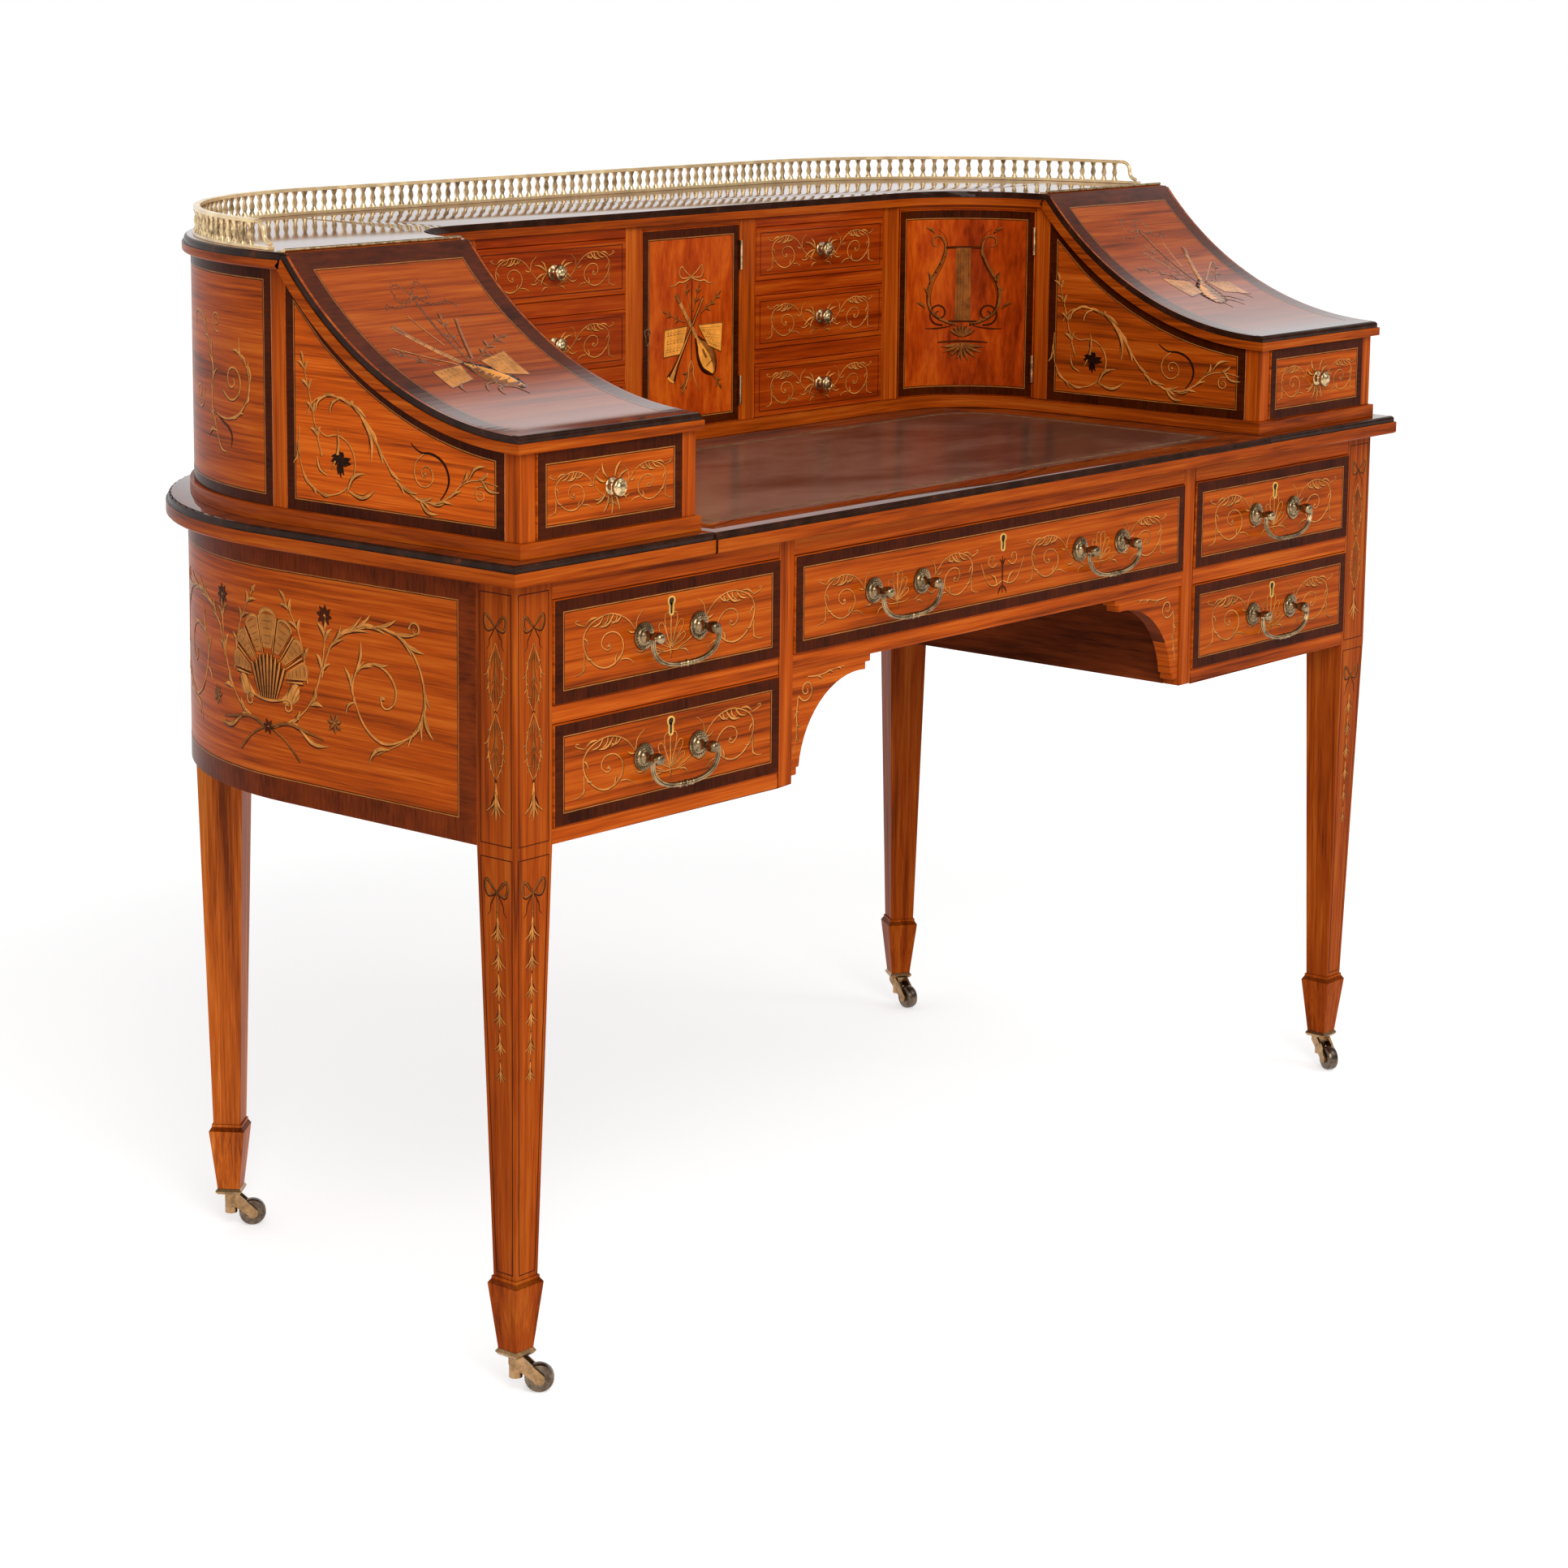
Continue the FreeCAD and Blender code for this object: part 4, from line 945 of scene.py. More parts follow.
def marquetry(name, face, draw, body, polish="", bend=None):
    """Cuts what draw does with a pen into a face, a little proud, later pieces over earlier ones."""
    pen = Pen([])
    draw(pen)
    sheet = pen.sheet
    finishes = sorted({wood for wood, _, _ in sheet})
    base = inlays().lift * 1000
    rise = min(0.0012, 0.25 / len(sheet))
    sunk = -0.2
    apart = 100.0
    whole = bmesh.new()
    for index, wood in enumerate(finishes):
        line = new_curve(wood, 4)
        for layer, (kind, points, halves) in enumerate(sheet):
            if kind == wood and halves:
                add_spline(line, [(p.x, p.y, apart * layer) for p in points], halves, 2.2)
        made = take_curve(whole, line) if line.splines else []
        for vert in {vert for strip in made for vert in strip.verts}:
            layer = round(vert.co.z / apart)
            height = vert.co.z - apart * layer
            top = base + rise * layer
            vert.co.z = top if height > 0.01 else sunk if height < -0.01 else 0.6 * top
        for layer, (kind, points, halves) in enumerate(sheet):
            if kind == wood and not halves:
                cells = bmesh.ops.create_grid(whole, x_segments=8, y_segments=5, size=0.5)["verts"]
                a, b, c, d = points
                for vert in cells:
                    s, t = vert.co.x + 0.5, vert.co.y + 0.5
                    vert.co = (a * (1 - s) + b * s) * (1 - t) + (d * (1 - s) + c * s) * t
                faces = list({strip for vert in cells for strip in vert.link_faces})
                made += faces
                grown = bmesh.ops.extrude_face_region(whole, geom=faces)["geom"]
                raised = [item for item in grown if isinstance(item, bmesh.types.BMVert)]
                for vert in cells:
                    vert.co.z = sunk
                for vert in raised:
                    vert.co.z = base + rise * layer
                made += [strip for vert in raised for strip in vert.link_faces]
        for strip in made:
            strip.material_index = index
    if bend:
        cut_across(whole, *bend)
    place_on(whole, face)
    add_piece(name, whole, [polish + wood for wood in finishes], body)


def scroll(pen):
    """A stem that rises, crowns over and rolls up to an eye, with leaves, a hook and tendrils."""
    coil = [(69, -16), (48, -8), (37, 3.3), (27, 14.4), (14, 20.2), (2, 21.4), (-12, 17.4), (-21, 11.3),
            (-23.6, 2.5), (-19, -8.9), (-8.6, -17.5), (2, -20.6), (12.6, -18.2), (21.4, -11), (22.3, -1.2),
            (12.6, 7.3), (1.1, 6.5), (-3.3, 0.5), (-1, -4.8), (4.6, -7.4), (8.2, -4.2), (5.5, -1.8)]
    pen.stroke(coil, (0.4, 0.5, 0.6, 0.7, 0.7, 0.55, 0.5, 0.45))
    pen.dot(5.0, -3.6, 1.4)
    for foot, tip, bend, width in (((20, 18.6), (7, 15.0), 0.2, 1.2), ((15, 19.8), (8, 12.8), 0.2, 0.9),
                                   ((11, 20.6), (-6, 12.4), 0.2, 1.4), ((5, 21.2), (-2, 13.0), 0.2, 1.0),
                                   ((0, 21.4), (-14, 13.2), 0.18, 1.1),
                                   ((-7, 19.8), (-21, 14.8), -0.15, 1.0)):
        veined(pen, foot, tip, bend, width)
    pen.stroke([(-21, 14.8), (-29.8, 17.2), (-31.5, 19.3), (-29.8, 20.6), (-27, 19.3)], (0.45, 0.4, 0.3))
    pen.stroke([(36.4, 3.5), (36, 10), (39, 16.3), (46, 20.4)], (0.55, 0.45, 0.2))
    pen.stroke([(-22, -5.8), (-21, -16.8), (-26, -21.7), (-33, -21.5)], (0.55, 0.5, 0.25))
    pen.stroke([(19, -15.8), (28.5, -14.8), (34, -21)], (0.55, 0.6, 0.2))
    for foot, tip, bend, width in (((35.5, 3.5), (26, 6.5), 0.15, 0.8), ((-19, -9), (-12.5, -11), -0.2, 0.9),
                                   ((-21.5, -15), (-23.5, -20.5), 0.1, 0.7),
                                   ((13, -18), (15.2, -10), 0.15, 0.9), ((50, -9), (35, -10.5), 0.2, 0.8),
                                   ((66, -17), (55, -23), -0.2, 0.8), ((-23, 6), (-17, -1), 0.15, 0.8)):
        pen.leaf(foot, tip, bend, width)


def palmette(pen):
    """Fan of looped petals on a short stem."""
    for reach, angle in ((30, 99), (30, 81), (26, 122), (26, 58), (20, 148), (20, 32)):
        x, y = on_circle(reach, angle)
        wide = 0.15 * reach
        away = on_circle(1.0, angle - 90)
        loop = [(0, 0)]
        for share, side in ((0.35, -0.4), (0.7, -1.0), (0.97, -0.7), (1.02, 0.2), (0.9, 0.9), (0.6, 0.7),
                            (0.3, 0.2)):
            loop.append((share * x + side * wide * away[0], share * y + side * wide * away[1]))
        pen.stroke(loop + [(0, 0)], (0.35, 0.4, 0.35))
    pen.stroke([(0, 28), (0, 10), (0, -4)], (0.3, 0.7, 0.9))
    pen.stroke([(0, 2), (0, -4), (0, -8)], (0.9, 0.7, 0.4), "tan")
    for half in pen.halves():
        half.stroke([(0, -1), (8, -3), (18, 1)], (0.5, 0.5, 0.25))


def ribbon_bow(pen):
    """Bow of ribbon with two loops and two tails."""
    for half in pen.halves():
        half.stroke([(0, 0), (5, 5), (11, 12), (14, 6), (11, -4), (5, -3), (0, 0)],
                    (0.8, 1.3, 1.4, 1.2, 0.7), "tan")
        half.stroke([(0, 0), (5, 5.4), (11.2, 12.6), (14.6, 6), (11.4, -4.4), (5, -3.4), (0, 0)],
                    (0.4, 0.5, 0.4), "umber")
        half.stroke([(1, -1), (5, -8), (8, -12), (7, -17), (11, -21)], (0.5, 0.6, 0.4, 0.2), "umber")
    pen.dot(0, 0, 1.9, "umber")


def husk(pen):
    """One bell of a chain: five petals spread from a cap."""
    pen.dot(0, 2.5, 1.3, "tan")
    for tip, bend, width in ((-7.5, 0.2, 1.0), (7.5, -0.2, 1.0), (-3.6, 0.1, 1.0), (3.6, -0.1, 1.0),
                             (0, 0, 1.3)):
        drop = -17 - 4.5 * (1 - abs(tip) / 7.5)
        pen.leaf((0, 0), (tip, drop), bend, width)
    for tip in (-5, -1.8, 1.8, 5):
        pen.leaf((0, -5), (0.95 * tip, -16.5), 0.03 * tip / 5, 0.3, "umber")


def festoon(pen):
    """A pointed oval of two strands with sprigs, as hung one below the other."""
    strand = [(0, 0), (5, -10), (9.5, -26), (8, -42), (3, -54), (0, -59)]
    for half in pen.halves():
        half.stroke(strand, (0.35, 0.45, 0.35))
        fringes(half, strand, [((0.22, 0.36, 0.5, 0.64), 9, 0.65, 26), ((0.28, 0.44, 0.6), 8, 0.6, -24)])
    for tip in (-4.5, 0, 4.5):
        pen.leaf((0, -18), (tip, -36), -0.02 * tip, 1.1, "tan")
        pen.leaf((0, -6), (0.8 * tip, -22), 0.02 * tip, 0.8, "tan")
        pen.leaf((0, -34), (0.7 * tip, -52), 0.02 * tip, 0.7, "tan")
    pen.dot(0, -59, 1.9, "umber")


def flower(pen, wood, petals=6):
    for i in range(petals):
        pen.leaf(on_circle(1.2, 360 / petals * i), on_circle(9.5, 360 / petals * i + 6), 0.05, 1.9, wood)
    pen.dot(0, 0, 1.2)


def along(points, share):
    """Place and direction in degrees at a share of the way through points."""
    t = share * (len(points) - 1)
    k = min(int(t), len(points) - 2)
    (x0, y0), (x1, y1) = points[k], points[k + 1]
    return x0 + (x1 - x0) * (t - k), y0 + (y1 - y0) * (t - k), math.degrees(math.atan2(y1 - y0, x1 - x0))


def veined(pen, foot, tip, bend, width, wood="boxwood"):
    """A leaf with a dark vein."""
    pen.leaf(foot, tip, bend, width, wood)
    inner = [(1 - s) * f + s * t for s in (0.15, 0.8) for f, t in zip(foot, tip)]
    pen.leaf(inner[:2], inner[2:], bend, 0.3, "umber")


def leafy_stem(pen, points, leaves, size=1.0, wood="boxwood"):
    """A thin stem with so many pairs of pointed leaves along it and one leaf at its tip."""
    pen.stroke(points, (0.9 * size, 0.7 * size, 0.45 * size), wood)
    for i in range(leaves):
        x, y, way = along(points, (i + 0.7) / (leaves + 0.3))
        for side in (-1, 1):
            dx, dy = on_circle(13 * size, way + 38 * side)
            lag = 0.0 if side > 0 else 3.0 * size
            bx, by = on_circle(lag, way)
            veined(pen, (x + bx, y + by), (x + bx + dx, y + by + dy), -0.12 * side, 1.9 * size, wood)
    x, y, way = along(points, 1.0)
    dx, dy = on_circle(13 * size, way)
    veined(pen, (x, y), (x + dx, y + dy), 0.08, 1.9 * size, wood)


def fringes(pen, points, rows):
    """Rows of leaves that spring from a path at shares of it, with their length, width and lean."""
    for shares, reach, width, lean in rows:
        for index, share in enumerate(shares):
            x, y, way = along(points, share)
            size = reach * (1.0 - 0.25 * abs(2 * index / max(1, len(shares) - 1) - 1))
            dx, dy = on_circle(size, way + lean)
            veined(pen, (x, y), (x + dx, y + dy), -0.006 * lean, width)


def shell(pen):
    """Scallop: hatched panels between ribs over narrow flutes, ruffled sides and a rolled foot."""
    panels = [[(9.5, 43), (15, 42), (31.6, 64.4), (15, 72.2)],
              [(19.8, 37), (22.9, 34.2), (45, 47.8), (34.8, 57.6)],
              [(25.3, 27.3), (25.3, 22.4), (49, 24.4), (46, 39)]]
    ribs = [((6.3, 41), (12.2, 75)), ((16, 37), (34.4, 61)), ((23, 30), (45.4, 43.4)),
            ((23.7, 19.5), (46.5, 21))]
    middle = [(-5.3, 46.8), (5.3, 46.8), (10.6, 77), (-10.6, 77)]
    halves = [pen, pen.moved(0, 0, flip=True)]
    for half in halves:
        half.shape([(38, 19), (36, 12), (30, 5), (20, 2)], (3.0, 8.0, 7.0, 3.0))
        half.stroke([(42, 19), (35, 12), (32, 3)], (0.3, 0.6, 0.3), "umber")
        half.stroke([(31, 18), (27, 11), (25, 3)], (0.3, 0.6, 0.3), "umber")
        half.stroke([(44, 14), (39, 9), (36, 4)], (0.2, 0.5, 0.2), "umber")
    for half, corners in [(half, corners) for half in halves for corners in panels] + [(pen, middle)]:
        half.patch(corners, "line")
        low_left, low_right, high_right, high_left = [Vector(corner) for corner in corners]
        across = high_left - high_right
        lift = ((high_left + high_right) - (low_left + low_right)) * 0.07
        crest = [high_right, high_right + across * 0.25 + lift, high_right + across * 0.75 + lift, high_left]
        half.shape(crest, (2.0, 3.0, 2.0), "line")
        half.stroke([low_right, high_right, *crest, high_left, low_left], (0.5, 0.8, 0.8, 0.8, 0.5))
        for share in (0.14, 0.36, 0.58, 0.80):
            a = low_left + (high_left - low_left) * share
            b = low_right + (high_right - low_right) * share
            half.stroke([a + (b - a) * s for s in (0.16, 0.5, 0.84)], (0.25, 0.6, 0.25), "umber")
    for half in halves:
        for foot, tip in ribs:
            way = Vector(tip) - Vector(foot)
            path = [Vector(foot) + way * s for s in (0.0, 0.5, 1.0)]
            half.shape(path, (1.0, 2.0, 2.5), "umber")
            half.shape(path, (0.7, 1.5, 2.0))
    for i in (-4, 4, -3, 3, -2, 2, -1, 1, 0):
        low = Vector((2.9 * i, 1.5 + 0.2 * abs(i)))
        high = Vector((5.6 * i, 42 - 0.65 * i * i))
        path = [low + (high - low) * s for s in (0.0, 0.5, 0.9, 1.0)]
        pen.shape(path, (1.3, 2.4, 3.2, 1.8), "umber")
        pen.shape(path, (1.0, 1.9, 2.7, 1.4))
        pen.stroke([low + (high - low) * s for s in (0.1, 0.5, 0.85)], (0.2, 0.5, 0.2), "tan")
    for half in halves:
        half.moved(26, -3).spiral(7, 1.4, 110, -430, (1.2, 0.9, 0.5))
    pen.stroke([(-25, 3.5), (-12, 0.5), (0, -0.5), (12, 0.5), (25, 3.5)], (1.0, 1.3, 1.3, 1.0))


def music_sheet(pen, corners, wood="page"):
    """A curled page with staves and notes."""
    pen.patch(corners, wood)
    a, b, c, d = [Vector(corner) for corner in corners]
    for row in (0.2, 0.5, 0.8):
        for line in (-0.05, 0.05):
            left = a + (d - a) * (row + line)
            right = b + (c - b) * (row + line)
            pen.stroke([left + (right - left) * s for s in (0.08, 0.5, 0.92)], (0.16, 0.16), "umber")
        for place in (0.2, 0.36, 0.55, 0.74):
            note = a + (b - a) * place + (d - a) * (row - 0.04)
            pen.dot(note.x, note.y, 1.0, "umber")
            pen.stroke([note, note + (d - a) * 0.09, note + (d - a) * 0.18], (0.25, 0.25), "umber")
    for low, high in ((a, d), (b, c), (a, b), (d, c)):
        pen.stroke([low, (low + high) / 2, high], (0.45, 0.45), "tan")


def lute(pen):
    """Round-bellied instrument with its neck up, about 110 mm long."""
    pen.shape([(0, -33), (0, -24), (0, -8), (0, 8), (0, 21)], (3.2, 13.2, 15.8, 9.0, 2.0), "umber")
    pen.shape([(0.4, -32), (0.6, -24), (0.6, -8), (0.4, 8), (0, 20)], (3.0, 12.6, 15.2, 8.5, 1.6), "tan")
    pen.shape([(-0.6, -31), (-1.2, -23), (-1.4, -8), (-1, 8), (0, 18)], (2.4, 11.4, 13.6, 7.2, 1.0), "page")
    pen.shape([(0, 10), (0, 40), (0, 66)], (2.9, 2.6, 2.3))
    pen.shape([(0, 66), (0, 72), (0, 78)], (2.2, 3.4, 2.6), "tan")
    pen.shape([(0, -10), (0, -4), (0, 2)], (2.6, 4.2, 2.6), "tan")
    pen.stroke([(-6, -18), (0, -18), (6, -18)], (0.8, 0.8), "umber")
    for x in (-0.9, 0, 0.9):
        pen.stroke([(x * 2, -18), (x * 1.4, 20), (x, 66)], (0.14, 0.14), "umber")
    for y in (18, 26, 34, 42, 50, 58):
        pen.stroke([(-2.4, y), (0, y), (2.4, y)], (0.25, 0.25), "umber")


def beaded(pen, points, gap=3.2):
    """A string of small dark berries on a thin line."""
    pen.stroke(points, (0.3, 0.35, 0.3), "tan")
    reach = sum(math.dist(a, b) for a, b in zip(points, points[1:]))
    count = max(2, round(reach / gap))
    for i in range(count):
        x, y, way = along(points, (i + 0.5) / count)
        dx, dy = on_circle(1.1, way + (90 if i % 2 else -90))
        pen.dot(x + dx, y + dy, 0.8, "umber")


def trumpet(pen):
    """A straight horn with a flared mouth, 90 mm long."""
    pen.shape([(0, 46), (0, 10), (0, -25), (0, -38), (0, -46)], (1.5, 1.8, 2.5, 4.8, 7.2), "umber")
    pen.shape([(0, 45), (0, 10), (0, -25), (0, -38), (0, -45)], (1.1, 1.4, 2.0, 4.2, 6.6))
    pen.shape([(-5.5, -45.5), (0, -46.5), (5.5, -45.5)], (1.2, 3.0, 1.2), "page")
    pen.stroke([(0.5, 40), (0.7, 0), (1.0, -36)], (0.2, 0.4, 0.7), "umber")


def lyre(pen):
    """Lyre on a shell foot with scrolled arms, about 140 mm high."""
    for half in pen.halves():
        half.stroke([(8, -34), (26, -30), (41, -14), (40, 10), (24, 34), (19, 52), (26, 64), (36, 62),
                     (36, 52), (30, 52)], (1.2, 1.8, 1.5, 1.1, 0.8, 0.6), "tan")
        half.stroke([(7, -36), (24, -33), (38, -16), (37, 8), (22, 32), (17, 52), (22, 66), (30, 70)],
                    (0.3, 0.35, 0.25), "umber")
        half.moved(27, -22).spiral(14, 2.2, 250, 560, (1.0, 0.9, 0.5), "umber")
        half.stroke([(12, -36), (30, -40), (44, -38)], (0.4, 1.2, 0.3), "umber")
        for x, y, turn in ((40, -4, 60), (38, 12, 75), (44, -16, 30), (24, 38, 110), (33, 66, 30)):
            dx, dy = on_circle(13, turn)
            half.leaf((x, y), (x + dx, y + dy), 0.14, 1.5, "tan")
    pen.patch([(-9, -30), (9, -30), (8, 50), (-8, 50)], "tan")
    for x in (-6, -3, 0, 3, 6):
        pen.stroke([(x, -30), (x, 10), (x, 50)], (0.24, 0.24), "umber")
    pen.stroke([(-20, 50), (0, 51), (20, 50)], (1.2, 1.0, 1.2), "umber")
    pen.stroke([(-16, -31), (0, -31), (16, -31)], (0.9, 0.9), "umber")
    for angle in (30, 50, 70, 90, 110, 130, 150):
        pen.leaf((0, -48), (on_circle(17, angle)[0], -48 + on_circle(15, angle)[1]), 0.0, 1.8, "tan")
    pen.stroke([(-28, -54), (0, -52), (28, -54)], (0.6, 1.5, 0.6), "umber")
    for angle in (190, 210, 232, 254, 270, 286, 308, 330, 350):
        x, y = on_circle(25, angle)
        pen.leaf((0, -55), (x, -55 + 0.8 * y), 0.06 if x < 0 else -0.06, 1.8, "tan")


def drawer_scrolls(pen, reach, size):
    """A pair of scrolls either side of the middle."""
    scroll(pen.moved(-reach, 0, size=size))
    scroll(pen.moved(reach, 0, size=size, flip=True))


def block_sprig(pen):
    """Side of an end block, back and up: a leafy scroll with a black flower under the sweep."""
    leafy_stem(pen, [(238, 800), (246, 824), (251, 846), (257, 866), (261, 880)], 4, 0.85)
    ring = [(266, 824), (269, 800), (258, 776), (234, 765), (208, 772), (195, 792), (200, 812), (218, 822),
            (236, 816), (247, 828)]
    pen.stroke(ring, (0.45, 0.6, 0.7, 0.6, 0.45))
    arch = [(256, 836), (250, 848), (232, 854), (212, 853), (196, 847), (178, 830), (164, 809), (148, 789),
            (125, 775), (101, 772), (83, 779), (66, 795), (45, 799), (26, 795)]
    pen.stroke(arch, (0.45, 0.6, 0.9, 0.8, 0.7, 0.8, 0.7, 0.4))
    pen.dot(200, 850, 2.6)
    fringes(pen, arch, [((0.13, 0.19, 0.25, 0.32, 0.38), 26, 1.7, 15), ((0.28, 0.34, 0.42), 30, 1.8, 9),
                        ((0.50, 0.56, 0.62, 0.68), 24, 1.7, -16), ((0.54, 0.62, 0.70, 0.77), 22, 1.6, 17),
                        ((0.84, 0.91), 18, 1.5, -22)])
    fringes(pen, ring, [((0.06, 0.18, 0.30), 18, 1.5, -18), ((0.10, 0.24), 17, 1.4, 20)])
    for foot, tip, bend, size in (((207, 772), (184, 790), -0.2, 1.9), ((205, 773), (172, 777), 0.2, 1.9),
                                  ((232, 853), (246, 838), 0.2, 1.5), ((216, 852), (228, 838), 0.2, 1.5),
                                  ((226, 790), (218, 826), 0.12, 1.6), ((232, 784), (244, 800), -0.2, 1.5),
                                  ((190, 840), (177, 800), -0.16, 1.9), ((45, 799), (24, 790), 0.2, 1.7),
                                  ((60, 797), (38, 810), -0.2, 1.6), ((118, 774), (96, 764), 0.2, 1.8)):
        veined(pen, foot, tip, bend, size)
    coil = pen.moved(111, 797, flip=True)
    coil.spiral(17, 2.0, 96, 560, (0.6, 0.55, 0.4))
    coil.dot(0, 0, 1.8)
    pen.stroke([(128, 822), (119, 814), (104, 816), (89, 810), (82, 797), (85, 785), (93, 777)],
               (0.3, 0.8, 1.0, 0.4), "ebony")
    pen.moved(46, 786, flip=True).spiral(8, 1.4, 60, 500, (0.5, 0.5, 0.3))
    bloom = pen.moved(214, 800)
    for angle, reach in ((-14, 13), (8, 12), (-38, 9), (194, 13), (172, 12), (218, 9), (255, 14), (270, 16),
                         (285, 14), (75, 7), (105, 7)):
        bloom.leaf((0, 0), on_circle(reach, angle), 0.1, 1.9, "ebony")


def side_half(pen):
    """Front half of the lower side, back and up in millimetres, as far as the shell's middle."""
    leafy_stem(pen, [(298, 553), (270, 561), (248, 580), (236, 606), (230, 634), (230, 650)], 4, 1.2)
    leafy_stem(pen, [(252, 598), (258, 632), (268, 652), (280, 668)], 3, 1.0)
    flower(pen.moved(230, 662, size=1.05), "umber", 8)
    flower(pen.moved(218, 568, size=1.0), "tan", 7)
    pen.stroke([(302, 553), (280, 561), (256, 555), (232, 551)], (1.3, 1.9, 0.6), "tan")
    pen.stroke([(302, 553), (284, 546), (272, 536), (262, 527)], (0.9, 1.0, 1.3), "tan")
    veined(pen, (262, 556), (226, 546), 0.16, 2.4)
    crown = [(234, 606), (228, 630), (212, 646), (190, 656), (164, 660), (142, 657), (122, 646), (109, 624),
             (106, 600), (114, 578), (134, 561), (170, 546)]
    pen.stroke(crown, (0.7, 1.0, 1.3, 1.2, 1.0, 1.1, 1.0, 0.5))
    fringes(pen, crown, [((0.10, 0.15, 0.20, 0.26, 0.31), 34, 1.9, 15), ((0.13, 0.20, 0.27), 30, 1.8, -13),
                         ((0.34, 0.40, 0.46), 34, 1.9, 13), ((0.36, 0.43, 0.50), 36, 1.9, -12),
                         ((0.66, 0.74, 0.82), 30, 1.7, -14), ((0.70, 0.79), 26, 1.6, 15)])
    pen.moved(118, 663).spiral(8, 1.5, 0, 420, (1.2, 1.0, 0.5))
    veined(pen, (107, 596), (96, 570), 0.14, 2.2)
    veined(pen, (150, 554), (176, 538), 0.2, 2.2)
    inner = [(193, 588), (197, 604), (190, 619), (172, 628), (153, 624), (141, 610), (142, 596), (152, 588),
             (161, 592), (160, 600)]
    pen.stroke(inner, (0.6, 1.0, 1.2, 1.0, 0.8, 0.8))
    pen.dot(157, 598, 2.4)
    fringes(pen, inner, [((0.06, 0.15, 0.24), 24, 1.7, 14), ((0.10, 0.22, 0.34), 27, 1.7, -13)])
    pen.stroke([(194, 596), (188, 578), (172, 562), (150, 556), (128, 567)], (0.5, 1.2, 1.4, 0.7))
    veined(pen, (193, 590), (204, 578), 0.2, 1.5)


def corner_half(pen):
    """Upright scroll of the bowed stage corner, along and up in millimetres."""
    stem = [(391, 795), (402, 812), (411, 832), (404, 860), (412, 884), (432, 906), (452, 912), (462, 906),
            (458, 898)]
    pen.stroke(stem, (0.5, 1.2, 1.2, 1.0, 0.6))
    lobe = [(410, 826), (386, 818), (356, 822), (338, 838), (333, 858), (340, 872), (352, 880), (351, 894)]
    pen.stroke(lobe, (0.6, 1.2, 1.2, 0.8, 0.5))
    pen.stroke([(406, 826), (384, 816), (370, 812), (364, 803), (368, 795)], (0.4, 1.3, 1.3, 0.4), "umber")
    pen.moved(364, 855, flip=True).spiral(21, 2.2, 210, 560, (1.0, 1.0, 0.6))
    pen.moved(396, 906).spiral(11, 1.6, 250, 480, (0.9, 0.9, 0.5))
    pen.moved(446, 836).spiral(17, 2.0, 160, 500, (1.0, 0.9, 0.5))
    fringes(pen, stem, [((0.08, 0.2, 0.32, 0.44, 0.56), 19, 1.5, 24),
                        ((0.14, 0.26, 0.38, 0.5, 0.62), 19, 1.5, -24)])
    fringes(pen, lobe, [((0.25, 0.4, 0.55, 0.7, 0.85), 16, 1.4, -22), ((0.3, 0.6, 0.8), 14, 1.3, 22)])
    veined(pen, (398, 806), (418, 800), 0.2, 1.8)
    veined(pen, (394, 800), (376, 790), 0.2, 1.6)


def lid_trophy(pen):
    """Instruments and pages hung on a staff from a berried bow, out and up the sweep."""
    for path in ([(557, 266), (563, 276), (570, 282), (577, 274), (579, 258), (568, 258), (558, 265)],
                 [(557, 266), (548, 278), (539, 283), (533, 268), (545, 260), (556, 265)],
                 [(558, 264), (572, 255), (587, 251), (595, 258), (598, 250)],
                 [(556, 264), (548, 256), (540, 253), (528, 254), (521, 258), (513, 248)]):
        beaded(pen, path)
    for path, pairs, size in (([(552, 174), (535, 184), (519, 196), (498, 203)], 3, 0.85),
                              ([(554, 192), (552, 214), (546, 234)], 2, 0.75),
                              ([(600, 172), (616, 184), (629, 196)], 2, 0.75)):
        leafy_stem(pen, path, pairs, size, "tan")
    pen.stroke([(581, 242), (576, 224), (570, 200)], (0.5, 0.7, 0.7))
    pen.stroke([(630, 203), (604, 187), (579, 171)], (0.8, 0.9, 0.9))
    pen.stroke([(529, 233), (543, 204), (556, 177)], (1.2, 1.5, 1.5), "tan")
    music_sheet(pen, [(618, 135), (583, 146), (577, 170), (615, 165)], "boxwood")
    music_sheet(pen, [(515, 143), (544, 150), (549, 173), (511, 184)], "boxwood")
    lute(pen.moved(560, 155, turn=-32.7, size=1.16))
    pen.stroke([(558, 262), (562, 190), (561, 126)], (0.8, 0.9, 0.6), "umber")
    pen.stroke([(558.9, 260), (562.9, 190), (561.9, 130)], (0.3, 0.35))
    for foot, tip, bend in (((561, 130), (575, 113), 0.2), ((561, 132), (548, 110), -0.2),
                            ((600, 142), (610, 126), 0.2), ((561, 138), (586, 122), 0.2)):
        pen.leaf(foot, tip, bend, 1.5, "tan")


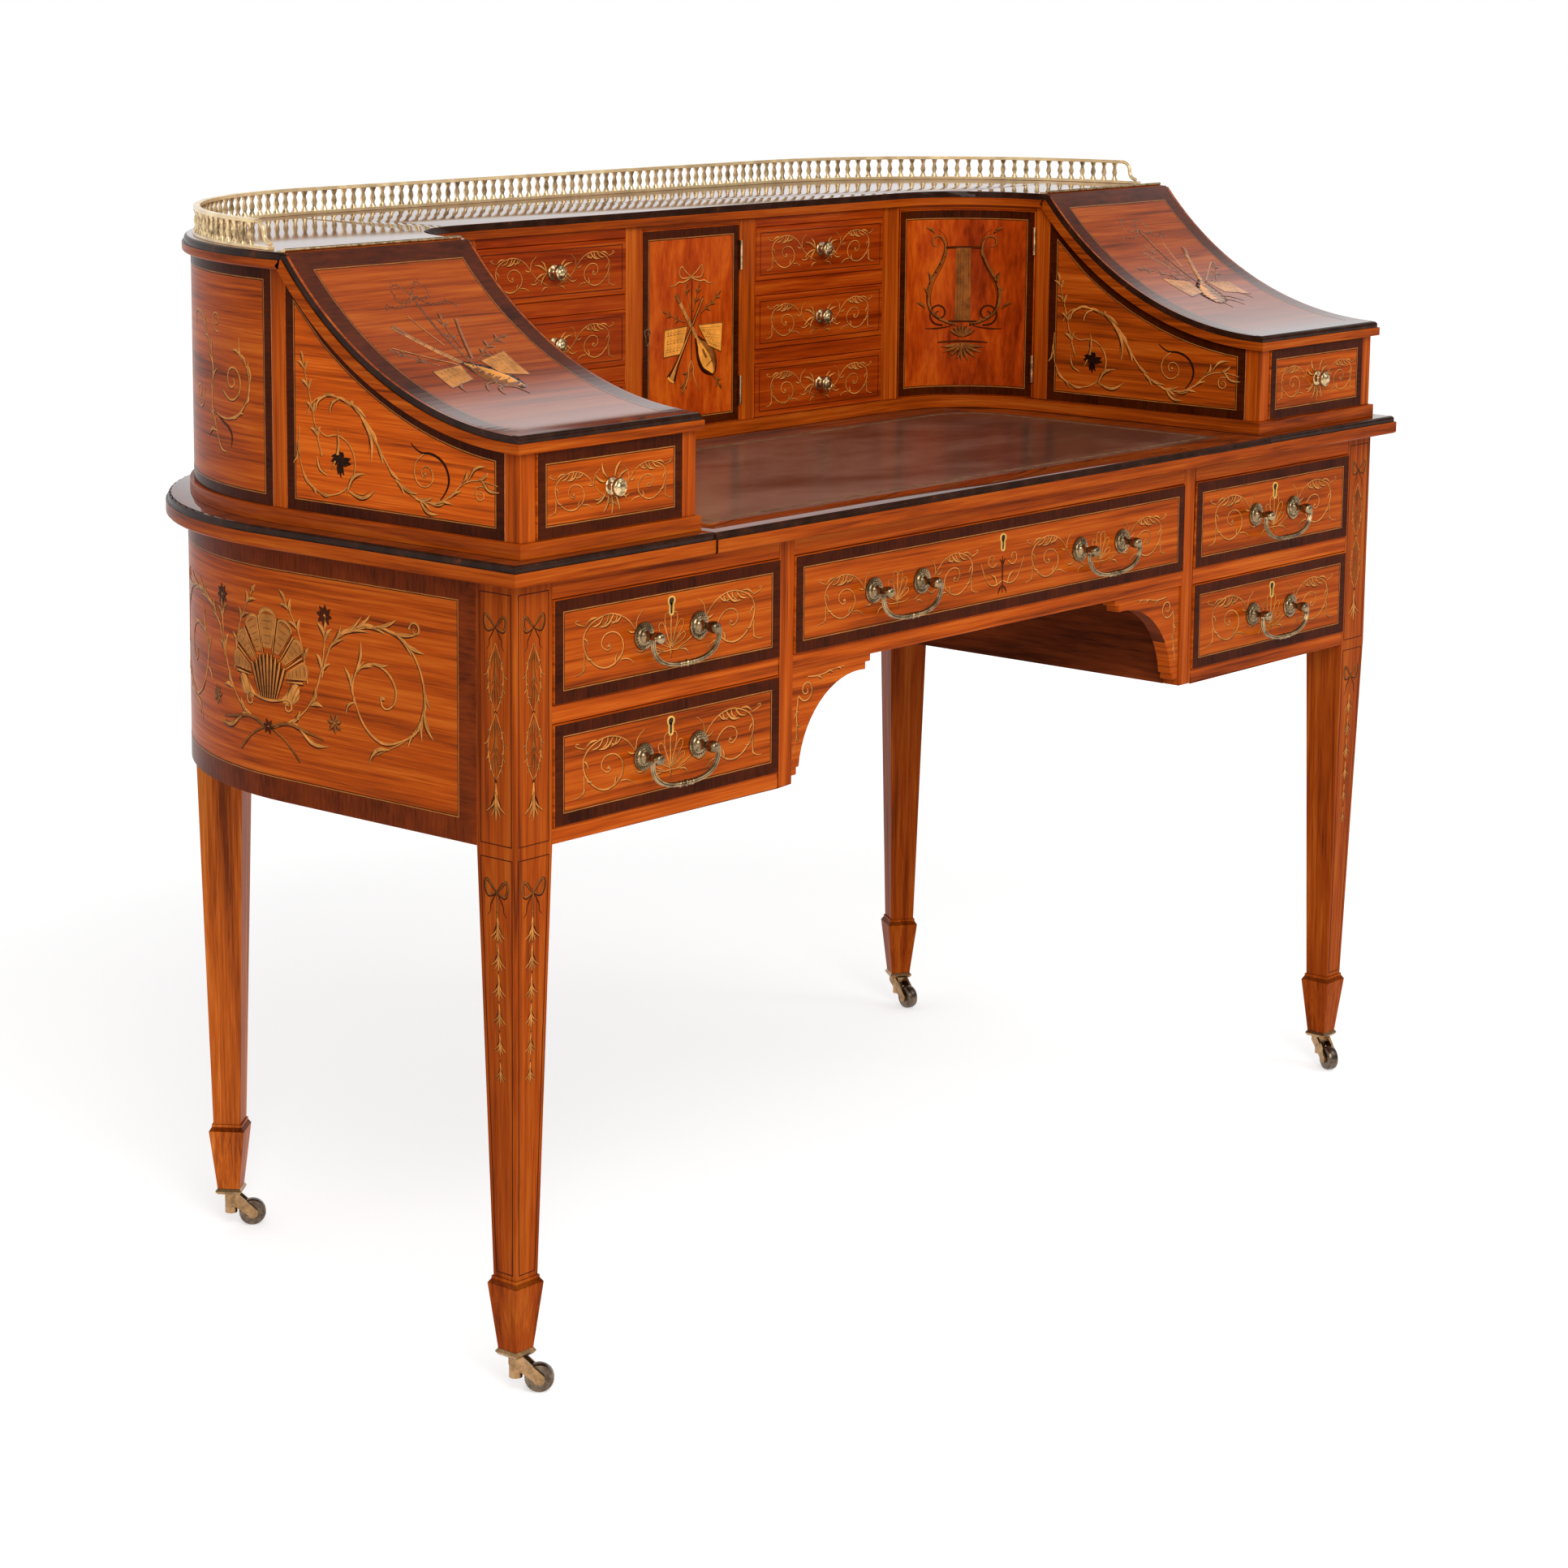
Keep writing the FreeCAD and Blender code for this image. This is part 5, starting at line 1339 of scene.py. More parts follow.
def door_trophy(pen):
    """Instruments and pages hung from a ribbon, across and up in millimetres."""
    for side in (-1, 1):
        pen.stroke([(-1, 904), (8 * side, 908), (16 * side, 917), (19 * side, 908), (14 * side, 901),
                    (-1, 904)], (0.5, 0.7, 0.6))
        pen.stroke([(-1, 903), (12 * side, 898), (20 * side, 900), (26 * side, 895), (33 * side, 896)],
                   (0.5, 0.8, 0.7, 0.3))
    for path, pairs, size in (([(-2, 872), (-8, 884), (-7, 892)], 1, 0.6),
                              ([(2, 868), (7, 880), (10, 890)], 2, 0.6),
                              ([(-10, 858), (-24, 862), (-38, 869)], 2, 0.6),
                              ([(14, 866), (28, 872), (40, 882)], 3, 0.6),
                              ([(20, 806), (34, 803), (42, 792)], 2, 0.7),
                              ([(4, 812), (-8, 804), (-12, 792)], 2, 0.7)):
        leafy_stem(pen, path, pairs, size, "tan")
    music_sheet(pen, [(-43, 824), (-15, 826), (-6, 854), (-41, 852)])
    music_sheet(pen, [(26, 832), (46, 824), (48, 854), (10, 854)])
    trumpet(pen.moved(-6.6, 841, turn=-31, size=1.04))
    lute(pen.moved(18, 827, turn=35, size=0.94))
    pen.stroke([(0, 902), (0.5, 860), (0.5, 818)], (0.5, 0.7, 0.5), "umber")
    for side in (-1, 1):
        pen.stroke([(0, 818), (5 * side, 811), (2 * side, 802), (13 * side, 786)], (0.5, 0.8, 0.3))


def leg_lines(face_name, face, count=6):
    """Dark lines round the panels of a leg, which taper in so many steps."""
    for index, (low, high, margin) in enumerate(LEG_PANELS):
        outline = []
        for i in range(count + 1):
            z = low + (high - low) * i / count
            outline.append((leg_half(z) - margin, z))
        outline += [(-u, z) for u, z in reversed(outline)]
        banding("%s_line_%d" % (face_name, index), face, outline, [(DARK_LINE, "umber")], "desk")


def sweep_outline(back, count=18):
    """Side of an end block below its lid, back and up; its sharp top corner has one long edge."""
    points = [(BLOCK_FRONT, STAGE_FLOOR + PANEL_GAP), (back, STAGE_FLOOR + PANEL_GAP)]
    under = LID_RADIUS + LID_THICK
    for share in [0.0] + [0.2 + 0.8 * i / count for i in range(count + 1)]:
        y = back + (BLOCK_FRONT - back) * share
        points.append((y, LID_CENTRE - math.sqrt(under ** 2 - (y - LID_FRONT) ** 2) - 0.4))
    return points


def centre_drawer(pen):
    """Scrolls and palmettes about both handles, and a sprig below the lock."""
    for x, flip in ((-247, False), (-70, True), (70, False), (247, True)):
        scroll(pen.moved(x, -1, size=0.98, flip=flip))
    for x in (-CENTRE_HANDLE, CENTRE_HANDLE):
        palmette(pen.moved(x, -15, size=0.95))
    pen.stroke([(0, 8), (0, -6), (0, -20), (0, -28)], (0.4, 1.0, 0.8, 0.4), "umber")
    for flip in (False, True):
        stem = pen.moved(0, 0, flip=flip)
        stem.leaf((0, -20), (7, -29), 0.1, 1.0, "umber")
        stem.leaf((0, -4), (5, 6), 0.12, 0.9, "umber")
        stem.stroke([(1, -16), (14, -22), (28, -12), (34, 4)], (0.6, 0.7, 0.4))
        stem.leaf((8, -20), (20, -8), 0.2, 1.2)
        stem.moved(17, 6).spiral(9, 1.4, 200, 430, (0.6, 0.5, 0.3))


def side_drawer(pen, size=1.13):
    """Scrolls with a palmette between them."""
    raised = pen.moved(0, 1)
    drawer_scrolls(raised, 86, size)
    palmette(raised.moved(0, -15 * size, size=0.95 * size))


def small_drawer(pen):
    """Scrolls with leaves to both sides of the knob."""
    drawer_scrolls(pen, 62, 0.82)
    for half in (pen.moved(9, 0), pen.moved(-9, 0, flip=True)):
        for turn, reach in ((25, 20), (55, 15), (-25, 20), (-55, 15)):
            half.leaf((0, 0), on_circle(reach, turn), 0.12, 1.1)


def end_drawer(pen):
    """Scrolls with leaves all round the knob."""
    drawer_scrolls(pen, 51, 0.80)
    for turn in (30, 60, 120, 150, 215, 245, 270, 295, 325):
        pen.leaf(on_circle(8, turn), on_circle(24, turn), 0.12, 1.3)


def bracket(pen):
    """A small coil in the corner of a kneehole bracket, with a leafy stem down and one along."""
    down = [(11, 70), (8, 54), (10, 36), (5, 16)]
    level = [(24, 86), (40, 84), (58, 88), (78, 89)]
    pen.moved(22, 74).spiral(12, 1.6, 200, 560, (0.8, 0.8, 0.5))
    pen.stroke(down, (0.7, 0.8, 0.3))
    fringes(pen, down, [((0.2, 0.45, 0.7), 9, 1.2, 34), ((0.3, 0.55), 8, 1.1, -30)])
    pen.stroke(level, (0.7, 0.8, 0.3))
    fringes(pen, level, [((0.3, 0.55, 0.8), 9, 1.2, -24)])


def stage_corner(pen):
    """A pair of upright scrolls on a bowed corner of the stage."""
    corner_half(pen)
    corner_half(pen.moved(2 * STAGE_MIDDLE, 0, flip=True))


def lower_panel(pen):
    """A shell between a pair of leafy scrolls on a lower side."""
    side_half(pen)
    side_half(pen.moved(2 * SHELL_MIDDLE, 0, flip=True))
    shell(pen.moved(SHELL_MIDDLE, 577))
    flower(pen.moved(SHELL_MIDDLE, 553, size=0.8), "umber")


def leg_inlay(pen):
    """Bow, festoons and a husk on the block of a leg; a bow and a chain of husks below it."""
    ribbon_bow(pen.moved(0, 678, size=0.95))
    festoon(pen.moved(0, 664))
    festoon(pen.moved(0, 605))
    husk(pen.moved(0, 545, size=1.55))
    ribbon_bow(pen.moved(0, 450, size=1.0))
    for index in range(6):
        husk(pen.moved(0, 430 - 26.0 * index, size=1.22 - 0.07 * index))
    pen.stroke([(0, 452), (0, 440), (0, 428)], (0.5, 0.5), "tan")


def top_finish(step, level):
    """Chooses the finish of a moulded board: reddish edge, black bead, polished top."""
    def pick(middle, normal):
        if middle.z > level - 0.2 and normal.z > 0.95:
            return "polished_top"
        if middle.z > step - 0.1 and normal.z > -0.5:
            return "bead"
        return "edge_wood"
    return pick


class DESK_OT_carcass(bpy.types.Operator):
    """Legs, panels, rails and inner boards of the lower part"""
    bl_idname = "desk.carcass"
    bl_label = "Lower carcass"

    def execute(self, context):
        softened("legs", ["leg_wood", "foot_wood", "pale_leg"], leg_finish, 1.0)
        softened("carcass_panels", ["satin_level", "inner_wood"], panel_finish)
        softened("front_frame", ["satin_level", "satin_upright", "inner_wood"], frame_finish)
        softened("inner_frame", ["inner_wood"], edge=0)
        return {"FINISHED"}


def leg_finish(middle, normal):
    if middle.z < 200 and normal.z > 0.3:
        return "foot_wood"
    # The back left leg gets the paler, greyer copy of the leg wood: painted sheen.
    return "pale_leg" if middle.y > CORNER_Y and middle.x < 0 else "leg_wood"


def bow_reach(middle, half, radius):
    """Distance of a place from the axis of the bow on its side, or from the flat between the bows."""
    return math.hypot(max(0.0, abs(middle.x) - (half - radius)), max(0.0, middle.y - CORNER_Y))


def panel_finish(middle, normal):
    outside = bow_reach(middle, CARCASS_HALF, CARCASS_CORNER) > CARCASS_CORNER - 4 and normal.z > -0.5
    return "satin_level" if outside else "inner_wood"


def frame_finish(middle, normal):
    if middle.y > 6 and abs(normal.y) > 0.5 or normal.z < -0.5:
        return "inner_wood"
    upright = DIVIDER[0] < abs(middle.x) < DIVIDER[1]
    return "satin_upright" if upright else "satin_level"


class DESK_OT_tops(bpy.types.Operator):
    """Main top, writing board and stage boards with their moulded edges"""
    bl_idname = "desk.tops"
    bl_label = "Tops"

    def execute(self, context):
        kinds = ["edge_wood", "bead", "polished_top"]
        for node in ("main_top", "writing_slide"):
            softened(node, kinds, top_finish(TOP_STEP, TOP_LEVEL - 0.3), 0)
        softened("stage_boards", kinds, top_finish(STAGE_STEP, STAGE_TOP), 0.6)
        return {"FINISHED"}


class DESK_OT_leather(bpy.types.Operator):
    """Leather skin with its stamped border"""
    bl_idname = "desk.leather"
    bl_label = "Leather"

    def execute(self, context):
        softened("writing_leather", ["hide"], edge=0)
        outline = [(-LEATHER_HALF, LEATHER_FRONT), (LEATHER_HALF, LEATHER_FRONT)]
        for i in range(9):
            x, y = on_circle(LEATHER_CORNER, 11.25 * i)
            outline.append((LEATHER_HALF - LEATHER_CORNER + x, LEATHER_BACK - LEATHER_CORNER + y))
        outline += [(-u, v) for u, v in reversed(outline[2:])]
        rings = [(9.0, None), (0.7, "tooling"), (1.6, None), (2.0, "tooling"), (1.6, None), (0.7, "tooling")]
        banding("leather_tooling", top_face(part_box("writing_leather")[1].z * 1000), outline, rings,
                "writing_slide")
        return {"FINISHED"}


class DESK_OT_stage(bpy.types.Operator):
    """Case of the upper stage"""
    bl_idname = "desk.stage"
    bl_label = "Upper stage"

    def execute(self, context):
        softened("stage_carcase", ["lining"], edge=0)
        softened("stage_panels", ["satin_level", "block_wood", "lining"], stage_finish, 0.4)
        softened("stage_frame", ["satin_upright", "red_level"], stage_frame_finish, 0.6)
        return {"FINISHED"}


def stage_finish(middle, normal):
    if abs(abs(middle.x) - BAY_HALF) < 3:
        return "satin_level"
    if bow_reach(middle, STAGE_HALF, STAGE_CORNER) < STAGE_CORNER - 3:
        return "lining"
    # Flat outer faces of the end blocks take the lightened satinwood: painted light.
    return "block_wood" if middle.y < CORNER_Y else "satin_level"


def stage_frame_finish(middle, normal):
    level = SMALL_RAIL[0] < abs(middle.x) < SMALL_RAIL[1] and middle.y > BAY_WALL - 10
    return "red_level" if level else "satin_upright"


class DESK_OT_lids(bpy.types.Operator):
    """Sweep lids: a reddish board with a black-edged board on it"""
    bl_idname = "desk.lids"
    bl_label = "Lids"

    def execute(self, context):
        end = LID_SWEEP + LID_SEAM - LID_LAND
        for hand, side in SIDES.items():
            lid = "lid_" + hand
            low = self.board(LID_INNER, LID_OUTER, 0.0, end, -LID_THICK, -LID_STEP)
            place_on(low, lid_face(side))
            add_piece(lid + "_board", low, ["edge_wood"], lid, 30, lid)
            high = self.board(LID_INNER + LID_INSET, LID_OUTER - LID_INSET, LID_INSET, end, -LID_STEP, 0.0)
            rim = [edge for edge in high.edges if self.on_rim(edge, end)]
            bmesh.ops.bevel(high, geom=rim, offset=LID_BEAD, segments=4, profile=0.5, affect="EDGES",
                            material=-1)
            level = [face for face in high.faces if min(vert.co.z for vert in face.verts) > -0.05]
            bmesh.ops.inset_region(high, faces=level, thickness=0.6, use_even_offset=True, use_boundary=True)
            for face in high.faces:
                face.material_index = 0 if face in level else 1
            place_on(high, lid_face(side))
            add_piece(lid + "_top", high, ["lid_satin", "bead"], lid, 30)
        return {"FINISHED"}

    @staticmethod
    def board(u0, u1, v0, v1, bottom, top):
        bm = bmesh.new()
        bmesh.ops.create_grid(bm, x_segments=1, y_segments=40, size=0.5)
        for vert in bm.verts:
            vert.co.x = u0 + (vert.co.x + 0.5) * (u1 - u0)
            vert.co.y = v0 + (vert.co.y + 0.5) * (v1 - v0)
        thicken(bm, bm.faces[:], top, bottom)
        return bm

    @staticmethod
    def on_rim(edge, end):
        """Top edges at both ends and the front, not along the hinge."""
        a, b = (vert.co for vert in edge.verts)
        if a.z < -0.01 or b.z < -0.01 or not edge.is_manifold:
            return False
        return edge.calc_face_angle(0.0) > 1.0 and min(a.y, b.y) < end - 0.01


class DESK_OT_doors(bpy.types.Operator):
    """Centre door and hollow corner doors"""
    bl_idname = "desk.doors"
    bl_label = "Doors"

    def execute(self, context):
        for node in ("centre_door", "corner_door_left", "corner_door_right"):
            softened(node, ["red_upright"], edge=0.6)
        self.head("centre_door_head", front_face(BAY_WALL), -75.0, 75.0)
        for hand, side in SIDES.items():
            self.head("corner_door_%s_head" % hand, hollow_face(side), 1.0, 165.5)
        return {"FINISHED"}

    @staticmethod
    def head(name, face, u0, u1):
        """A strip of wood that closes the slit over a door, a little behind its face."""
        bm = bmesh.new()
        middle = Matrix.Translation(((u0 + u1) / 2, STAGE_CEILING - 2.2, 0))
        place = middle @ Matrix.Diagonal((u1 - u0, 4.6, 1, 1))
        bmesh.ops.create_grid(bm, x_segments=24, y_segments=1, size=0.5, matrix=place)
        thicken(bm, bm.faces[:], -0.5, -5.0)
        place_on(bm, face)
        add_piece(name, bm, ["satin_level"], "desk")


class DESK_OT_drawers(bpy.types.Operator):
    """Frieze drawers, small drawers and end drawers"""
    bl_idname = "desk.drawers"
    bl_label = "Drawers"

    def execute(self, context):
        for hand in SIDES:
            for row in ROWS:
                self.drawer("drawer_%s_%s" % (hand, row), "drawer_wood", DRAWER_FACE + DRAWER_FRONT)
            for row in SMALL_ROWS:
                self.drawer("small_drawer_%s_%s" % (hand, row), "red_level", SMALL_FACE + SMALL_FRONT, 1.4)
            self.drawer("end_drawer_" + hand, "satin_level", END_FACE + SMALL_FRONT)
        self.drawer("drawer_centre", "drawer_wood", DRAWER_FACE + DRAWER_FRONT)
        return {"FINISHED"}

    @staticmethod
    def drawer(node, wood, back, edge=None):
        """Show wood on a drawer's front, which ends at a depth, and lining on the rest."""
        softened(node, [wood, "lining"],
                 lambda middle, normal: wood if middle.y < back + 0.5 else "lining", edge)


class DESK_OT_banding(bpy.types.Operator):
    """Crossbanding and stringing of every panel"""
    bl_idname = "desk.banding"
    bl_label = "Banding"

    def execute(self, context):
        sizes = inlays()
        frieze = edged(sizes.frieze_band, DEEP)
        block = edged(sizes.block_band, DEEP)
        door = edged(sizes.door_band, DEEP)
        lid = edged(sizes.lid_band, ("lid_deep_level", "lid_deep_sideways"), "lid_")
        thin = [(TRIM_MARGIN, None), (DARK_LINE, "umber")]
        stage_row = (STAGE_FLOOR, STAGE_CEILING)
        drawers = front_face(DRAWER_FACE)
        for hand, side in SIDES.items():
            ends = sorted(side * x for x in SIDE_DRAWER)
            for row, heights in ROWS.items():
                node = "drawer_%s_%s" % (hand, row)
                banding(node + "_band", drawers, oblong(ends, heights, FRONT_GAP, FRONT_GAP), frieze, node)
            ends = sorted(side * x for x in SMALL_DRAWER)
            for row, z in SMALL_ROWS.items():
                node = "small_drawer_%s_%s" % (hand, row)
                shape = oblong(ends, (z, z + SMALL_HEIGHT), 0.0, 0.3)
                banding(node + "_line", front_face(SMALL_FACE), shape, thin, node)
            node = "end_drawer_" + hand
            shape = oblong(sorted(side * x for x in END_DRAWER), END_ROW, FRONT_GAP, FRONT_GAP)
            banding(node + "_band", front_face(END_FACE), shape, block, node)
            shape = oblong(SIDE_PANEL, (CARCASS_BOTTOM, CARCASS_TOP), 0.0, PANEL_GAP)
            banding("side_%s_band" % hand, lower_side(side), shape, edged(sizes.side_band), "desk", ROUND_BOW)
            shape = oblong(STAGE_PANEL, stage_row, 0.0, PANEL_GAP)
            banding("stage_%s_band" % hand, stage_side(side), shape, block, "desk", ROUND_BOW)
            shape = sweep_outline(BLOCK_OUTER_BACK)
            banding("block_%s_outer_band" % hand, stage_side(side), shape, block, "desk")
            shape = sweep_outline(BLOCK_INNER_BACK)
            banding("block_%s_inner_band" % hand, bay_side(side), shape, block, "desk")
            shape = oblong((LID_INNER, LID_OUTER), (TRIM_MARGIN, LID_SWEEP - PANEL_GAP), TRIM_MARGIN)
            banding("lid_%s_band" % hand, lid_face(side), shape, lid, "lid_" + hand, UP_SWEEP)
            node = "corner_door_" + hand
            banding(node + "_band", hollow_face(side), oblong(CORNER_DOOR, DOOR_ROW), door, node,
                    ROUND_HOLLOW)
        shape = oblong((-CENTRE_DRAWER_HALF, CENTRE_DRAWER_HALF), UPPER_ROW, FRONT_GAP, FRONT_GAP)
        banding("drawer_centre_band", drawers, shape, frieze, "drawer_centre")
        banding("centre_door_band", front_face(BAY_WALL), oblong(CENTRE_DOOR, DOOR_ROW), door, "centre_door")
        shape = oblong((-KNEEHOLE_HALF, KNEEHOLE_HALF), (KNEEHOLE_TOP, CARCASS_TOP), 0.0, PANEL_GAP)
        banding("back_band", back_face(CARCASS_DEPTH), shape, edged(sizes.block_band), "desk")
        flat = STAGE_HALF - STAGE_CORNER
        shape = oblong((-flat, flat), stage_row, 0.0, PANEL_GAP)
        banding("stage_back_band", back_face(STAGE_DEPTH), shape, block, "desk")
        return {"FINISHED"}


class DESK_OT_marquetry(bpy.types.Operator):
    """Inlaid ornament of every panel"""
    bl_idname = "desk.marquetry"
    bl_label = "Marquetry"

    def execute(self, context):
        for hand, side in SIDES.items():
            self.drawers(hand, side)
            self.stage(hand, side)
            self.legs(hand, side)
        face = front_face(DRAWER_FACE, 0, sum(UPPER_ROW) / 2)
        marquetry("drawer_centre_marquetry", face, centre_drawer, "drawer_centre")
        marquetry("centre_door_marquetry", front_face(BAY_WALL), door_trophy, "centre_door")
        return {"FINISHED"}

    @staticmethod
    def drawers(hand, side):
        for row, heights in ROWS.items():
            node = "drawer_%s_%s" % (hand, row)
            face = front_face(DRAWER_FACE, side * sum(SIDE_DRAWER) / 2, sum(heights) / 2)
            marquetry(node + "_marquetry", face, side_drawer, node)
        for row, z in SMALL_ROWS.items():
            node = "small_drawer_%s_%s" % (hand, row)
            face = front_face(SMALL_FACE, side * sum(SMALL_DRAWER) / 2, z + SMALL_HEIGHT / 2)
            marquetry(node + "_marquetry", face, small_drawer, node)
        node = "end_drawer_" + hand
        face = front_face(END_FACE, side * sum(END_DRAWER) / 2, sum(END_ROW) / 2)
        marquetry(node + "_marquetry", face, end_drawer, node)
        x, y, z = BRACKET_CORNER
        face = front_face(y, side * x, z)
        marquetry("bracket_%s_marquetry" % hand, face,
                  lambda pen: bracket(pen.moved(0, 0, flip=side > 0)), "desk")

    @staticmethod
    def stage(hand, side):
        marquetry("block_%s_outer_marquetry" % hand, stage_side(side), block_sprig, "desk")
        marquetry("block_%s_inner_marquetry" % hand, bay_side(side), block_sprig, "desk")
        marquetry("stage_%s_marquetry" % hand, stage_side(side), stage_corner, "desk", "", ROUND_BOW)
        marquetry("side_%s_marquetry" % hand, lower_side(side), lower_panel, "desk", "", ROUND_BOW)
        node = "lid_" + hand
        marquetry(node + "_marquetry", lid_face(side), lid_trophy, node, "lid_", UP_SWEEP_FINE)
        node = "corner_door_" + hand
        marquetry(node + "_marquetry", hollow_face(side),
                  lambda pen: lyre(pen.moved(HOLLOW_RADIUS * math.pi / 4, 862)), node, "", ROUND_HOLLOW)

    @staticmethod
    def legs(hand, side):
        for view, outer in (("front", False), ("outer", True)):
            name = "leg_%s_%s" % (hand, view)
            face = leg_face(side, outer)
            leg_lines(name, face)
            marquetry(name + "_marquetry", face, leg_inlay, "desk")


class DESK_OT_handles(bpy.types.Operator):
    """Bail handles, rosettes and locks of the frieze drawers, and the lock of the centre door"""
    bl_idname = "desk.handles"
    bl_label = "Bail handles"

    def execute(self, context):
        upper = sum(UPPER_ROW) / 2
        for hand, side in SIDES.items():
            middle = side * sum(SIDE_DRAWER) / 2
            for row, heights in ROWS.items():
                level = sum(heights) / 2
                self.plates("%s_%s" % (hand, row), middle, level, [middle])
                self.bail("%s_%s" % (hand, row), middle, level)
            self.bail("centre_" + hand, side * CENTRE_HANDLE, upper)
        self.plates("centre", 0.0, upper, [-CENTRE_HANDLE, CENTRE_HANDLE])
        x, z = DOOR_LOCK
        lock = joined(self.keyhole(x, BAY_WALL, z))
        add_piece("centre_door_lock", lock, ["aged_brass", "aged_brass", "bead"], "centre_door", 40)
        return {"FINISHED"}

    @staticmethod
    def plates(name, middle, level, handles):
        """Beaded rosettes with their posts, and the keyhole, of one drawer."""
        profile = [(0, 0), (12.2, 0), (12.4, 0.8), (12.0, 1.7), (11.0, 2.0), (10.2, 1.5), (9.0, 1.5),
                   (8.4, 2.4), (7.6, 3.2), (6.6, 3.4), (6.0, 2.9), (5.2, 3.2), (4.4, 4.4), (3.7, 5.4),
                   (3.1, 7.0), (2.9, 9.5), (3.5, 11.5), (4.7, 13.0), (5.3, 15.4), (5.5, 18.0), (5.2, 20.3),
                   (4.0, 22.3), (2.2, 23.2), (0, 23.4)]
        beads = 22
        parts = []
        for handle in handles:
            for side in (-1, 1):
                rosette = spun(profile, 32)
                for i in range(beads):
                    x, y = on_circle(9.6, 360 / beads * i)
                    place = Matrix.Translation((x, y, 1.7)) @ Matrix.Diagonal((1.15, 1.15, 0.9, 1))
                    bmesh.ops.create_icosphere(rosette, subdivisions=1, radius=1.0, matrix=place)
                set_forward(rosette, handle + POST_HALF * side, DRAWER_FACE, level)
                parts.append(rosette)
        parts += DESK_OT_handles.keyhole(middle, DRAWER_FACE, level + LOCK_RISE)
        node = "drawer_brass_" + name
        add_piece(node + "_cast", joined(parts), ["aged_brass", "gilt", "bead"], "drawer_" + name,
                  40, node)

    @staticmethod
    def keyhole(x, y, z):
        """Rim and dark hole of a lock on a face at depth y."""
        outline = [(2.3, 1.8, 0), (4.3, 3.6, 0), (3.8, 7.8, 0), (0, 9.0, 0), (-3.8, 7.8, 0), (-4.3, 3.6, 0),
                   (-2.3, 1.8, 0), (-2.7, -6.4, 0), (0, -7.7, 0), (2.7, -6.4, 0), (2.3, 1.8, 0)]
        rim = tube(outline, [0.9] * len(outline), 4)
        set_forward(rim, x, y - 0.1, z)
        hole = bmesh.new()
        for radius, rise, tall in ((3.5, 4.9, 1.0), (2.2, -1.8, 2.5)):
            place = Matrix.Translation((0, rise, -0.1)) @ Matrix.Diagonal((1, tall, 1, 1))
            bmesh.ops.create_circle(hole, cap_ends=True, segments=20, radius=radius, matrix=place)
        set_forward(hole, x, y - 0.15, z)
        for face in rim.faces:
            face.material_index = 1
        for face in hole.faces:
            face.material_index = 2
        return [rim, hole]

    @staticmethod
    def bail(name, middle, level):
        """A bail of four reeds, with beads at its middle and turned ends."""
        sideways = Matrix.Rotation(math.radians(90), 4, "Y")
        arm = [(39.5, 0), (42.0, 0.2), (43.4, -2.6), (43.2, -8.2), (40.2, -15.2), (33.0, -21.4),
               (22.0, -25.1), (9.0, BAIL_DROP)]
        path = [(x, z, 0) for x, z in arm] + [(-x, z, 0) for x, z in reversed(arm)]
        half = [1.7, 1.9, 1.8, 1.7, 1.8, 2.0, 2.2, 2.4]
        reed = [0.52 * r for r in half + half[::-1]]
        parts = []
        for turn in (45, 135, 225, 315):
            out, up = on_circle(1.25, turn)
            parts.append(tube([(x * (1 + out / 40), z * (1 + out / 26), up) for x, z, _ in path], reed, 6))
        for x, radius in ((0, 3.3), (-4.6, 2.8), (4.6, 2.8), (-8.2, 3.0), (8.2, 3.0)):
            bead = spun([(0, -1.9), (0.7 * radius, -1.5), (radius, 0), (0.7 * radius, 1.5), (0, 1.9)], 14)
            place = Matrix.Translation((x, BAIL_DROP, 0)) @ sideways
            bmesh.ops.transform(bead, matrix=place, verts=bead.verts[:])
            parts.append(bead)
        for side in (-1, 1):
            profile = [(0, -3.2), (2.6, -3.0), (3.2, -1.8), (2.5, -0.4), (3.0, 1.2), (2.2, 2.4), (0, 2.6)]
            end = spun(profile, 16)
            place = Matrix.Translation((41.0 * side, 0, 0)) @ sideways
            bmesh.ops.transform(end, matrix=place, verts=end.verts[:])
            parts.append(end)
        bm = joined(parts)
        set_forward(bm, middle, BAIL_AXIS, level)
        node = "bail_" + name
        add_piece(node + "_cast", bm, ["aged_brass"], node, 40, node)


class DESK_OT_knobs(bpy.types.Operator):
    """Turned knobs of the small drawers and end drawers"""
    bl_idname = "desk.knobs"
    bl_label = "Knobs"

    def execute(self, context):
        for hand, side in SIDES.items():
            x = side * sum(SMALL_DRAWER) / 2
            for row, z in SMALL_ROWS.items():
                place = (x, SMALL_FACE, z + SMALL_HEIGHT / 2)
                self.knob("knob_%s_%s" % (hand, row), place, "small_drawer_%s_%s" % (hand, row))
            place = (side * sum(END_DRAWER) / 2, END_FACE, sum(END_ROW) / 2)
            self.knob("knob_%s_end" % hand, place, "end_drawer_" + hand)
        return {"FINISHED"}

    @staticmethod
    def knob(node, place, body):
        bm = spun([(0, 0), (7.6, 0), (7.8, 0.6), (7.3, 1.2), (6.2, 1.5), (5.4, 2.0), (4.2, 2.4), (3.3, 3.1),
                   (3.0, 4.0), (3.3, 4.9), (4.4, 5.4), (5.8, 6.0), (7.4, 7.0), (8.3, 8.6), (8.4, 9.8),
                   (7.8, 11.0), (7.1, 11.7), (6.5, 11.8), (6.2, 11.3), (5.5, 11.5), (4.8, 12.3), (3.8, 13.2),
                   (2.2, 13.7), (0, 13.9)], 36)
        set_forward(bm, *place)
        add_piece(node + "_turned", bm, ["bright_brass"], body, 40, node)


